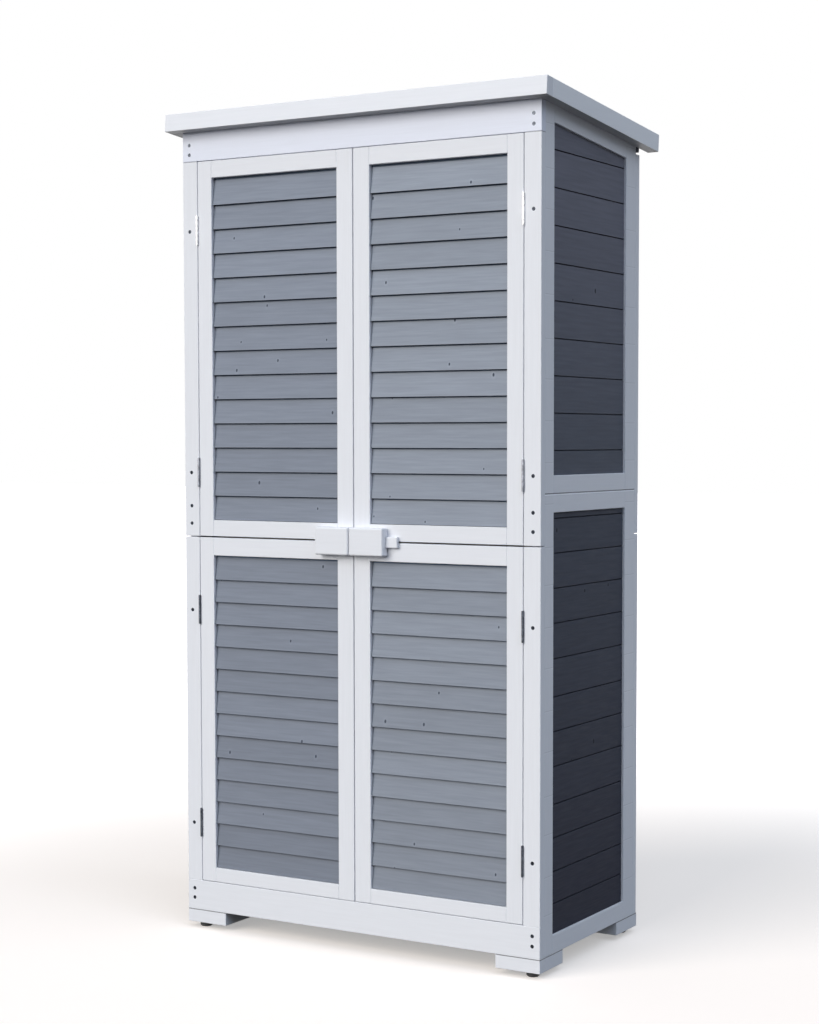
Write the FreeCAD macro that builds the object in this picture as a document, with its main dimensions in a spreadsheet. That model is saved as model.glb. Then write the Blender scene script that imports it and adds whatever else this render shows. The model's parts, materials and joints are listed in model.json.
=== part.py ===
import FreeCAD, Part
import math
import os
import re
import Sketcher

# A tall garden storage cabinet of painted softwood: two side panels and a back in two
# storeys, a front of posts, fascia and kick board, four louvred doors, a lean-to roof.
# Frame: +Z up, +X to the right, the front faces -Y, origin at the bottom centre.
# All sizes are in millimetres, the slope in degrees.
sizes = {
    # Whole body
    "body_width": 828,
    "body_depth": 430,
    "edge_ease": 0.8,               # chamfer that takes the sharpness off each stick
    # Feet
    "glide_height": 12,
    "glide_radius": 13,
    "glide_round": 2.5,
    "front_glide_inset": 25.5,      # from the front of the body to the glide's centre
    "rear_glide_inset": 19.5,
    "side_glide_inset": 27.5,
    "glide_stem_radius": 4,
    "glide_stem_length": 14,
    "foot_height": 27,
    "foot_width": 96,
    "rear_foot_proud": 3,
    # Front boards
    "post_width": 36,
    "post_thickness": 17,
    "post_joint_gap": 2,
    "kick_height": 62,
    "door_split_height": 818.5,     # middle of the gap between the upper and lower doors
    "head_height": 1585,            # underside of the fascia
    # Side panels
    "side_split_height": 916.5,
    "side_frame_thickness": 28,
    "side_front_stile": 35.5,
    "side_rear_stile": 45,
    "upper_side_bottom_rail": 34,
    "upper_side_top_rail": 54.6,
    "lower_side_bottom_rail": 36.3,
    "lower_side_top_rail": 36,
    "board_thickness": 11,
    "board_recess": 5,
    "board_groove": 8,
    "board_gap": 2,
    "board_lap": 7,
    "lap_play": 0.4,
    "upper_board_pitch": 70.2,
    "upper_board_first": 997,       # height of the lowest board joint of the upper panels
    "lower_board_first": 133,
    # Back panels
    "back_frame_thickness": 17,
    "back_stile": 45,
    "back_rail": 45,
    "back_split_height": 826,
    "back_joint_gap": 2,
    "back_top_height": 1593,
    "back_board_thickness": 9,
    "back_board_recess": 4,
    "back_board_pitch": 70,
    # Roof
    "roof_depth": 500,
    "roof_front_overhang": 28,
    "roof_slope": 5,
    "eaves_height": 1645.6,         # lower front edge of the front rim
    "rim_height": 35.3,
    "rim_thickness": 24.5,
    "deck_thickness": 12,
    "deck_board_count": 5,
    "deck_board_gap": 1,
    "felt_thickness": 1.5,
    "felt_inset": 8,
    "batten_width": 20,
    "batten_height": 20,
    "rear_batten_width": 16,
    "rear_batten_height": 31,
    "batten_play": 1,
    "front_batten_setback": 54,
    # Doors
    "door_thickness": 20,
    "door_gap": 2,                  # between the pair
    "hinge_gap": 1.4,               # between a door and its post
    "split_gap": 3,                 # between the upper and lower doors
    "door_end_gap": 1.2,            # at the fascia and at the kick board
    "hinge_stile": 34.6,
    "meeting_stile": 37,
    "upper_door_top_rail": 34.3,
    "upper_door_bottom_rail": 33,
    "lower_door_top_rail": 36.7,
    "lower_door_bottom_rail": 29.3,
    "tenon_length": 14,
    "tenon_thickness": 7,
    "tenon_shoulder": 6,
    "slat_count": 14,
    "slat_thickness": 5,
    "slat_recess": 3.5,
    "slat_play": 1.2,               # between a slat's back and the slat that it laps over
    "slat_overlap": 7,
    "slat_housing": 5,
    "slat_foot": 0.8,
    "upper_slat_head": 5.7,         # what the top slat shows beyond one pitch
    "lower_slat_head": 4,
    # Hinges
    "hinge_height": 58,
    "knuckle_radius": 2.2,
    "knuckle_count": 5,
    "knuckle_play": 0.3,
    "knuckle_proud": 2.5,            # from the face of the posts to the pin's axis
    "pin_radius": 1.1,
    "pin_play": 0.05,
    "pin_head_radius": 1.8,
    "pin_head_height": 1.2,
    "leaf_thickness": 0.6,
    "leaf_depth": 14,
    "leaf_screw_spacing": 20,
    "upper_hinge_drop": 140,        # from the fascia down to the upper doors' high hinge
    "upper_hinge_rise": 132.5,      # from the split up to their low hinge
    "lower_hinge_drop": 150.5,
    "lower_hinge_rise": 123,        # from the kick board up to the lower doors' low hinge
    # Latch
    "block_width": 78,
    "block_height": 55,
    "block_thickness": 21,
    "block_rounding": 3.5,
    "bar_height": 22,
    "bar_thickness": 8,
    "bar_tail": 26,
    "bar_rounding": 2,
    "bar_play": 0.4,
    "groove_play": 0.9,             # between the bar and the bottom of its groove
    "latch_screw_near": 20,
    "latch_screw_far": 60,
    "latch_screw_rise": 20,
    # Screws
    "screw_head_radius": 3.8,
    "screw_head_height": 2.6,
    "screw_radius": 1.9,
    "screw_length": 34,
    "screw_point": 5,
    "screw_sink": 0.5,
    "screw_inset": 16.5,            # from the side of the body to the frame screws
    "fascia_screw_rise": 14,
    "fascia_screw_spacing": 19.5,
    "kick_screw_rise": 24.5,
    "kick_screw_spacing": 19.5,
    "upper_post_screw_drop": 141.7,
    "upper_post_screw_rise": 131.7,
    "side_joint_screw_drop": 34.7,
    "post_end_screw_rise": 27.3,
    "lower_post_screw_drop": 152.2,
    "lower_post_screw_rise": 120.7,
    "back_joint_screw_gap": 13,
    "back_screw_spacing": 250,
    "back_foot_screw_rise": 24,
    "screw_slot_length": 4.6,
    "screw_slot_width": 0.9,
    "screw_slot_depth": 1.4,
    "leaf_screw_head_radius": 2.9,
    "leaf_screw_radius": 1.4,
    "leaf_screw_length": 13,
    "leaf_screw_point": 3,
    "leaf_screw_slot_depth": 0.4,
    # Inside
    "stop_play": 0.5,               # between a closed door and what stops it
    "shelf_thickness": 15,
    "shelf_board_count": 4,
    "shelf_board_gap": 6,
    "shelf_play": 0.5,
    "upper_shelf_height": 1196,
    "lower_shelf_height": 461,
    "middle_shelf_drop": 4,         # its top below the door split, where the gap shows no shelf
    "floor_rise": 8,                # floor above the kick board's top edge
    "cleat_height": 20,
    "cleat_thickness": 20,
    "head_rail_depth": 26,
    "head_rail_drop": 11,
    "head_rail_height": 44,
}

# Heights of the lower side boards from the second one up, which are uneven.
lower_board_heights = (62, 64.5, 64.5, 72.5, 67, 66.5, 72.5, 67.5, 66.5, 66.5, 66)
sizes.update({"lower_board_%d" % (i + 1): height for i, height in enumerate(lower_board_heights)})

# Heights of the screws that hold the front boards and the back frames.
front_screw_heights = (
    "head_height + fascia_screw_rise + fascia_screw_spacing",
    "head_height + fascia_screw_rise",
    "head_height - upper_post_screw_drop",
    "door_split_height + upper_post_screw_rise",
    "side_split_height - side_joint_screw_drop",
    "door_split_height + post_end_screw_rise",
    "door_split_height - lower_post_screw_drop",
    "kick_top + lower_post_screw_rise",
    "base + kick_screw_rise + kick_screw_spacing",
    "base + kick_screw_rise",
)
back_screw_heights = (
    "back_top_height - back_joint_screw_gap",
    "back_split_height + 2 * back_screw_spacing",
    "back_split_height + back_screw_spacing",
    "back_split_height + back_joint_screw_gap",
    "back_split_height - back_joint_screw_gap",
    "back_split_height - back_screw_spacing",
    "back_split_height - 2 * back_screw_spacing",
    "base + back_foot_screw_rise",
)

# Places that follow from the sizes.
places = {
    "front": "roof_front_overhang - roof_depth / 2",
    "rear": "front + body_depth",
    "side": "body_width / 2",
    "side_inner": "side - side_frame_thickness",
    "base": "glide_height + foot_height",
    "kick_top": "base + kick_height",
    "behind_posts": "front + post_thickness",
    "behind_doors": "front + door_thickness + stop_play",
    "before_back": "rear - back_frame_thickness",
    "panel_front": "behind_posts + side_front_stile",
    "panel_rear": "before_back - side_rear_stile",
    "post_inner": "side - post_width",
    "door_outer": "post_inner - hinge_gap",
    "door_inner": "door_gap / 2",
    "opening_outer": "door_outer - hinge_stile",
    "opening_inner": "door_inner + meeting_stile",
    "split_up": "door_split_height + split_gap / 2",
    "split_down": "door_split_height - split_gap / 2",
    "hinge_x": "post_inner - hinge_gap / 2",
    "hinge_y": "front - knuckle_proud",
    "screw_x": "side - screw_inset",
    "roof_front": "-roof_depth / 2",
    "roof_half": "side + rim_thickness",
    "deck_under": "rim_height - deck_thickness",
    "roof_length": "(roof_depth - rim_height * sin(roof_slope)) / cos(roof_slope)",
    "shelf_half": "side_inner - shelf_play",
    "middle_shelf_height": "door_split_height - middle_shelf_drop",
    "floor_height": "kick_top + floor_rise",
}

doc = FreeCAD.newDocument("garden_cabinet")
nodes = []


# The sheet of driving sizes, one row each with its name as alias.
def size_sheet():
    sheet = doc.addObject("Spreadsheet::Sheet", "sizes")
    for row, (alias, number) in enumerate(sizes.items(), 1):
        sheet.set("A%d" % row, alias)
        sheet.set("B%d" % row, str(number))
        sheet.setAlias("B%d" % row, alias)
    doc.recompute()


# A formula in words turned into an expression on the sheet.
def formula(text):
    def word(match):
        name = match.group(0)
        if name in places:
            return "(" + formula(places[name]) + ")"
        return "sizes." + name if name in sizes else name
    return re.sub(r"[a-z][a-z_0-9]*", word, str(text))


# Height of the deck's underside above a place y on the depth axis.
def under_deck(y):
    return "eaves_height + deck_under / cos(roof_slope) - (%s - roof_front) * tan(roof_slope)" % y


# A range across the width, mirrored for the left side.
def across(sign, low, high):
    return (low, high) if sign > 0 else ("-(%s)" % high, "-(%s)" % low)


def set_place(piece, x, y, z):
    for axis, text in zip("xyz", (x, y, z)):
        piece.setExpression("Placement.Base." + axis, formula(text))


# A block between a low and a high face each way.
def box(name, x, y, z):
    block = doc.addObject("Part::Box", name)
    for prop, (low, high) in zip(("Length", "Width", "Height"), (x, y, z)):
        block.setExpression(prop, formula("(%s) - (%s)" % (high, low)))
    set_place(block, x[0], y[0], z[0])
    return block


# A block in the roof's own slope: u runs back from the front rim's face, w is square to it.
def roof_box(name, x, u, w):
    block = doc.addObject("Part::Box", name)
    for prop, (low, high) in zip(("Length", "Width", "Height"), (x, u, w)):
        block.setExpression(prop, formula("(%s) - (%s)" % (high, low)))
    block.Placement.Rotation = FreeCAD.Rotation(FreeCAD.Vector(-1, 0, 0), sizes["roof_slope"])
    block.setExpression("Placement.Rotation.Angle", formula("roof_slope"))
    set_place(block, x[0],
              "roof_front + (%s) * cos(roof_slope) + (%s) * sin(roof_slope)" % (u[0], w[0]),
              "eaves_height - (%s) * sin(roof_slope) + (%s) * cos(roof_slope)" % (u[0], w[0]))
    return block


# All twelve edges of a block chamfered or rounded by a size of the sheet.
def edged(block, kind, size):
    worked = doc.addObject("Part::" + kind, block.Label + "_edges")
    worked.Base = block
    worked.Edges = [(edge, sizes[size], sizes[size]) for edge in range(1, 13)]
    return worked


def stick(name, x, y, z):
    return edged(box(name, x, y, z), "Chamfer", "edge_ease")


def roof_stick(name, x, u, w):
    return edged(roof_box(name, x, u, w), "Chamfer", "edge_ease")


def joined(name, kind, base, tool):
    result = doc.addObject("Part::" + kind, name)
    result.Base = base
    result.Tool = tool
    return result


# A piece less each tool in turn.
def cut(piece, *tools):
    for tool in tools:
        piece = joined(piece.Label + "_cut", "Cut", piece, tool)
    return piece


def gathered(name, pieces):
    group = doc.addObject("Part::Compound", name)
    group.Links = pieces
    return group


def node(label, pieces):
    group = gathered(label, pieces)
    group.Label = label
    nodes.append(group)


# A copy of a master piece whose own +Z points along a direction.
def copy_of(master, name, direction, x, y, z):
    copy = doc.addObject("App::Link", name)
    copy.LinkedObject = master
    copy.Placement = FreeCAD.Placement(
        FreeCAD.Vector(), FreeCAD.Rotation(FreeCAD.Vector(0, 0, 1), FreeCAD.Vector(*direction)))
    set_place(copy, x, y, z)
    return copy


# A turned piece: a closed outline in radius and height, revolved about +Z.
def turned(name, outline):
    body = doc.addObject("PartDesign::Body", name)
    sketch = body.newObject("Sketcher::SketchObject", name + "_outline")
    plane = [part for part in body.Origin.OriginFeatures if part.Role == "XZ_Plane"][0]
    sketch.AttachmentSupport = [(plane, "")]
    sketch.MapMode = "FlatFace"
    count = len(outline)
    ring = [FreeCAD.Vector(20 + 10 * math.cos(2 * math.pi * i / count),
                           20 + 10 * math.sin(2 * math.pi * i / count), 0) for i in range(count)]
    for i in range(count):
        sketch.addGeometry(Part.LineSegment(ring[i], ring[(i + 1) % count]))
    for i in range(count):
        sketch.addConstraint(Sketcher.Constraint("Coincident", i, 2, (i + 1) % count, 1))
    for i, point in enumerate(outline):
        for kind, text in zip(("DistanceX", "DistanceY"), point):
            index = sketch.addConstraint(Sketcher.Constraint(kind, -1, 1, i, 1, 1.0))
            sketch.setExpression("Constraints[%d]" % index, formula(text))
    turn = body.newObject("PartDesign::Revolution", name + "_turn")
    turn.Profile = sketch
    turn.ReferenceAxis = (sketch, ["V_Axis"])
    turn.Angle = 360
    return body


# Lengths of boards, shiplapped: each has an outer half and an inner half that stands
# behind the next board. Where the frame isn't square they are trimmed to the field
# that its grooves leave.
def boards(label, axis, along, outer, inner, joints, low, high, field=None):
    edges = [low] + joints + [high]
    pieces = []
    for i in range(len(edges) - 1):
        first, last = i == 0, i == len(edges) - 2
        halves = []
        for layer, lift, trim in ((outer, "board_gap / 2", "-board_gap / 2"),
                                  (inner, "board_lap", "board_lap - lap_play")):
            bottom = edges[i] if first else "%s + %s" % (edges[i], lift)
            top = edges[i + 1] if last else "%s + %s" % (edges[i + 1], trim)
            span = (layer, along) if axis == "x" else (along, layer)
            halves.append(box("%s_half" % label, span[0], span[1], (bottom, top)))
        board = joined("%s_board" % label, "Fuse", halves[0], halves[1])
        if field:
            board = joined("%s_trim" % label, "Common", board, field)
        pieces.append(board)
    node(label, pieces)


# The board joints of a panel: from the first one up by each board's own height, the last
# height repeated, as far as the top board stays taller than its lap.
def board_joints(first, first_height, steps, top):
    joints, text, height = [], first, first_height
    for step in steps + steps[-1:] * 50:
        if height > top - sizes["board_lap"]:
            break
        joints.append(text)
        text += " + " + step
        height += sizes[step]
    return joints


# One storey of a side: two stiles, two rails and the boards between them.
def side_panel(level, name, sign):
    label = "%s_%s" % (level, name)
    thick = across(sign, "side_inner", "side")
    outer = across(sign, "side - board_recess - board_thickness / 2", "side - board_recess")
    inner = across(sign, "side - board_recess - board_thickness",
                   "side - board_recess - board_thickness / 2")
    panel = across(sign, "side - board_recess - board_thickness", "side - board_recess")
    low = "base" if level == "lower" else "side_split_height"
    field_low = "%s + %s_side_bottom_rail - board_groove" % (low, level)
    depth = ("panel_front - board_groove", "panel_rear + board_groove")
    opening = ("panel_front", "panel_rear")
    if level == "lower":
        tops = ["side_split_height", "side_split_height"]
        field_high = "side_split_height - lower_side_top_rail + board_groove"
        field = box("field_" + label, panel, depth, (field_low, field_high))
        top_rail = stick("top_rail_" + label, thick, opening,
                         ("side_split_height - lower_side_top_rail", "side_split_height"))
        steps = ["lower_board_%d" % (i + 1) for i in range(len(lower_board_heights))]
        joints = board_joints("lower_board_first", sizes["lower_board_first"], steps,
                              sizes["side_split_height"] - sizes["lower_side_top_rail"])
    else:
        tops = [under_deck("panel_front"), under_deck("before_back")]
        field_high = "eaves_height"
        rail_low = "deck_under - upper_side_top_rail"
        whole = box("whole_field_" + label, panel, depth, (field_low, field_high))
        above = roof_box("above_field_" + label, across(sign, "side_inner - 1", "side + 1"),
                         ("0", "roof_length"),
                         (rail_low + " + board_groove", "rim_height + upper_side_top_rail"))
        field = cut(whole, above)
        slope = roof_stick("slope_rail_" + label, thick, ("0", "roof_length"),
                           (rail_low, "deck_under"))
        between = box("between_stiles_" + label, across(sign, "side_inner - 1", "side + 1"),
                      opening, ("side_split_height", "eaves_height + rim_height"))
        top_rail = joined("top_rail_" + label, "Common", slope, between)
        joints = board_joints("upper_board_first", sizes["upper_board_first"],
                              ["upper_board_pitch"],
                              sizes["eaves_height"] - sizes["upper_side_top_rail"])
    bottom_rail = stick("bottom_rail_" + label, thick, opening,
                        (low, "%s + %s_side_bottom_rail" % (low, level)))
    front_stile = stick("front_stile_" + label, thick, ("behind_posts", "panel_front"),
                        (low, tops[0]))
    rear_stile = stick("rear_stile_" + label, thick, ("panel_rear", "before_back"),
                       (low, tops[1]))
    screws = front_screws["tool_" + name]
    sticks = [cut(front_stile, field, screws), cut(rear_stile, field, back_screws["tool_" + name]),
              cut(top_rail, field), cut(bottom_rail, field)]
    node("side_frame_" + label, sticks)
    boards("side_boards_" + label, "x", depth, outer, inner, joints, field_low, field_high,
           field if level == "upper" else None)


# One storey of the back: three stiles, two rails and the boards between them.
def back_panel(level):
    low, high = {"lower": ("base", "back_split_height - back_joint_gap / 2"),
                 "upper": ("back_split_height + back_joint_gap / 2", "back_top_height")}[level]
    thick = ("before_back", "rear")
    face = "rear - back_board_recess"
    rails = ("%s + back_rail" % low, "%s - back_rail" % high)
    reach = ("-side + back_stile - board_groove", "side - back_stile + board_groove")
    levels = ("%s - board_groove" % rails[0], "%s + board_groove" % rails[1])
    field = box("field_back_" + level, reach, (face + " - back_board_thickness", face), levels)
    spans = {"left": ("-side", "-side + back_stile"), "right": ("side - back_stile", "side")}
    sticks = []
    for name, span in spans.items():
        stile = stick("back_stile_%s_%s" % (name, level), span, thick, (low, high))
        sticks.append(cut(stile, field, back_screws["tool_" + name]))
    for name, span in (("bottom", (low, rails[0])), ("top", (rails[1], high))):
        rail = stick("back_%s_rail_%s" % (name, level),
                     (spans["left"][1], spans["right"][0]), thick, span)
        sticks.append(cut(rail, field))
    muntin = stick("back_muntin_" + level, ("-back_stile / 2", "back_stile / 2"),
                   ("before_back", face + " - back_board_thickness"), rails)
    sticks.append(muntin)
    node("back_frame_" + level, sticks)
    bottom, top = {"lower": (sizes["glide_height"] + sizes["foot_height"],
                             sizes["back_split_height"]),
                   "upper": (sizes["back_split_height"], sizes["back_top_height"])}[level]
    joints = board_joints(rails[0] + " + back_board_pitch",
                          bottom + sizes["back_rail"] + sizes["back_board_pitch"],
                          ["back_board_pitch"], top - sizes["back_rail"])
    boards("back_boards_" + level, "y", reach,
           (face + " - back_board_thickness / 2", face),
           (face + " - back_board_thickness", face + " - back_board_thickness / 2"),
           joints, levels[0], levels[1])


def front_boards():
    thick = ("front", "behind_posts")
    for name, sign in sides:
        width = across(sign, "post_inner", "side")
        holes = front_screws["tool_" + name]
        leaf_holes = fixed_leaf_screws["tool_" + name]
        upper = stick("upper_post_" + name, width, thick,
                      ("door_split_height + post_joint_gap / 2", "head_height"))
        lower = stick("lower_post_" + name, width, thick,
                      ("kick_top", "door_split_height - post_joint_gap / 2"))
        node("front_post_upper_" + name, [cut(upper, holes, leaf_holes)])
        node("front_post_lower_" + name, [cut(lower, holes, leaf_holes)])
    fascia = stick("fascia_stick", ("-side", "side"), thick,
                   ("head_height", under_deck("behind_posts")))
    kick = stick("kick_stick", ("-side", "side"), thick, ("base", "kick_top"))
    both = [front_screws["tool_left"], front_screws["tool_right"]]
    node("fascia_board", [cut(fascia, *both)])
    node("kick_board", [cut(kick, *both)])


# Foot blocks under the corners, and the glides whose stems are driven up into them.
def feet():
    outline = [("0", "0"), ("glide_radius - glide_round", "0"), ("glide_radius", "glide_round"),
               ("glide_radius", "glide_height"), ("glide_stem_radius", "glide_height"),
               ("glide_stem_radius", "glide_height + glide_stem_length"),
               ("0", "glide_height + glide_stem_length")]
    glide = turned("glide_master", outline)
    blocks, glides = [], []
    for name, sign in sides:
        corners = (("front", "front", "front + foot_width", "front + front_glide_inset"),
                   ("rear", "rear + rear_foot_proud - foot_width", "rear + rear_foot_proud",
                    "rear - rear_glide_inset"))
        for end, low, high, centre in corners:
            x = across(sign, "side - side_glide_inset", "side - side_glide_inset")[0]
            glides.append(copy_of(glide, "glide_%s_%s" % (end, name), (0, 0, 1), x, centre, "0"))
            block = stick("foot_%s_%s" % (end, name), across(sign, "side - foot_width", "side"),
                          (low, high), ("glide_height", "base"))
            blocks.append(cut(block, glides[-1]))
    node("foot_blocks", blocks)
    node("glides", glides)


# Boards that run across the width, with even gaps between them.
def shelf(label, height, front, rear):
    width = "((%s) - (%s) + shelf_board_gap) / shelf_board_count" % (rear, front)
    pieces = []
    for i in range(sizes["shelf_board_count"]):
        low = "%s + %d * %s" % (front, i, width)
        pieces.append(stick("%s_%d" % (label, i), ("-(shelf_half)", "shelf_half"),
                            (low, "%s + %s - shelf_board_gap" % (low, width)),
                            ("%s - shelf_thickness" % height, height)))
    node(label, pieces)


def inside():
    front, rear = "behind_doors", "before_back - shelf_play"
    heights = {"floor_boards": "floor_height", "lower_shelf": "lower_shelf_height",
               "middle_shelf": "middle_shelf_height", "upper_shelf": "upper_shelf_height"}
    cleats = []
    for label, height in heights.items():
        shelf(label, height, front, rear)
        for name, sign in sides:
            cleats.append(stick("%s_cleat_%s" % (label, name),
                                across(sign, "side_inner - cleat_thickness", "side_inner"),
                                ("behind_posts + 8", "before_back"),
                                ("%s - shelf_thickness - cleat_height" % height,
                                 "%s - shelf_thickness" % height)))
    node("shelf_cleats", cleats)
    node("head_rail", [stick("head_rail_stick", ("-(side_inner)", "side_inner"),
                             ("behind_doors", "behind_doors + head_rail_depth"),
                             ("head_height - head_rail_drop",
                              "head_height - head_rail_drop + head_rail_height"))])


def roof():
    rim = ("0", "rim_height")
    node("roof_rim_front", [roof_stick("front_rim", ("-(roof_half)", "roof_half"),
                                       ("0", "rim_thickness"), rim)])
    for name, sign in sides:
        node("roof_rim_" + name, [roof_stick("rim_" + name, across(sign, "side", "roof_half"),
                                             ("rim_thickness", "roof_length"), rim)])
    width = "(roof_length - rim_thickness) / deck_board_count"
    deck = [roof_stick("deck_%d" % i, ("-side", "side"),
                       ("rim_thickness + %d * %s" % (i, width),
                        "rim_thickness + %d * %s - deck_board_gap" % (i + 1, width)),
                       ("deck_under", "rim_height"))
            for i in range(sizes["deck_board_count"])]
    node("roof_deck", deck)
    node("roof_felt", [roof_box("felt_sheet", ("-(roof_half) + felt_inset", "roof_half - felt_inset"),
                                ("felt_inset", "roof_length - felt_inset"),
                                ("rim_height", "rim_height + felt_thickness"))])
    rear_start = "(before_back - roof_front + batten_play) / cos(roof_slope)"
    spans = (("", "front_batten_setback + roof_front_overhang", "side_inner - batten_play"),
             ("rear_", rear_start, "side - batten_play"))
    node("roof_battens", [roof_stick(end + "batten", ("-(%s)" % half, half),
                                     (start, "%s + %sbatten_width" % (start, end)),
                                     ("deck_under - %sbatten_height" % end, "deck_under"))
                          for end, start, half in spans])


# Hinge leaves in their own frame: the pin on +Z, the post on the +X side, the door on -X.
def leaf_master(name, sign, turns, screw):
    plate_x = across(sign, "hinge_gap / 2 - leaf_thickness", "hinge_gap / 2")
    reach = "knuckle_radius + knuckle_play"
    parts = [box(name + "_plate", plate_x, (reach, "knuckle_proud + leaf_depth"),
                 ("-hinge_height / 2", "hinge_height / 2"))]
    step = "hinge_height / knuckle_count"
    for i in turns:
        low = "-hinge_height / 2 + %d * %s" % (i, step)
        high = "%s + %s - knuckle_play" % (low, step)
        barrel = doc.addObject("Part::Cylinder", name + "_knuckle")
        barrel.setExpression("Radius", formula("knuckle_radius"))
        barrel.setExpression("Height", formula("%s - knuckle_play" % step))
        set_place(barrel, "0", "0", low)
        parts += [barrel, box(name + "_tab", plate_x, ("0", reach), (low, high))]
    whole = doc.addObject("Part::MultiFuse", name + "_whole")
    whole.Shapes = parts
    bore = doc.addObject("Part::Cylinder", name + "_bore")
    bore.setExpression("Radius", formula("pin_radius + pin_play"))
    bore.setExpression("Height", formula("2 * hinge_height"))
    set_place(bore, "0", "0", "-hinge_height")
    face = "%s(hinge_gap / 2 - leaf_thickness)" % ("" if sign > 0 else "-")
    holes = gathered(name + "_holes", [copy_of(screw, name + "_hole", (sign, 0, 0), face,
                                               "knuckle_proud + leaf_depth / 2",
                                               "%d * leaf_screw_spacing" % i)
                                       for i in (-1, 0, 1)])
    return cut(whole, bore, holes)


def mirrored(piece):
    other = doc.addObject("Part::Mirroring", piece.Label + "_mirrored")
    other.Source = piece
    other.Base = FreeCAD.Vector(0, 0, 0)
    other.Normal = FreeCAD.Vector(1, 0, 0)
    return other


# Screws at a list of places: the group that shows, and a group per side to cut their holes.
def screw_set(name, bore, slotted, spots):
    groups = {}
    shown = []
    for i, (side_name, direction, x, y, z) in enumerate(spots):
        shown.append(copy_of(slotted, "%s_%d" % (name, i), direction, x, y, z))
        hole = copy_of(bore, "%s_hole_%d" % (name, i), direction, x, y, z)
        groups.setdefault(side_name, []).append(hole)
    result = {"shown": shown}
    for side_name, holes in groups.items():
        result["tool_" + side_name] = gathered("%s_%s_holes" % (name, side_name), holes)
    return result


# A countersunk screw, and its bore, whose mouth opens through the face that the head is sunk in.
def screw_masters(name, head_radius, head_height, radius, length, point, slot_depth):
    outline = [(head_radius, "0"), (radius, head_height),
               (radius, "%s - %s" % (length, point)), ("0", length)]
    plain = turned(name, [("0", "0")] + outline)
    mouth = "-2 * screw_sink"
    bore = turned(name + "_bore", [("0", mouth), (head_radius, mouth)] + outline)
    slots = []
    for turn in (("screw_slot_length", "screw_slot_width"),
                 ("screw_slot_width", "screw_slot_length")):
        long_half, wide_half = ["%s / 2 * %s / screw_head_radius" % (half, head_radius)
                                for half in turn]
        slots.append(box(name + "_slot", ("-(%s)" % long_half, long_half),
                         ("-(%s)" % wide_half, wide_half), ("-1", slot_depth)))
    return bore, cut(plain, *slots)


hinge_heights = {"upper": ("head_height - upper_hinge_drop",
                           "door_split_height + upper_hinge_rise"),
                 "lower": ("door_split_height - lower_hinge_drop",
                           "kick_top + lower_hinge_rise")}


# Screw places on one leaf: into the post from the gap, or into the door's hinge stile.
def leaf_screw_spots(level, name, sign, into):
    spots = []
    for height in hinge_heights[level]:
        for i in (-1, 0, 1):
            face = "hinge_x + %d * (hinge_gap / 2 - leaf_thickness)" % into
            spots.append((name, (sign * into, 0, 0), "%d * (%s)" % (sign, face),
                          "hinge_y + knuckle_proud + leaf_depth / 2",
                          "%s + %d * leaf_screw_spacing" % (height, i)))
    return spots


# Screws that come through a door's rail from behind into the latch block.
def latch_screw_spots(level, name, sign):
    rise = {"upper": "latch_screw_rise", "lower": "-latch_screw_rise"}[level]
    return [(name, (0, -1, 0), "%d * (door_gap / 2 + %s)" % (sign, along),
             "front + door_thickness - screw_sink", "door_split_height + " + rise)
            for along in ("latch_screw_near", "latch_screw_far")]


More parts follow.
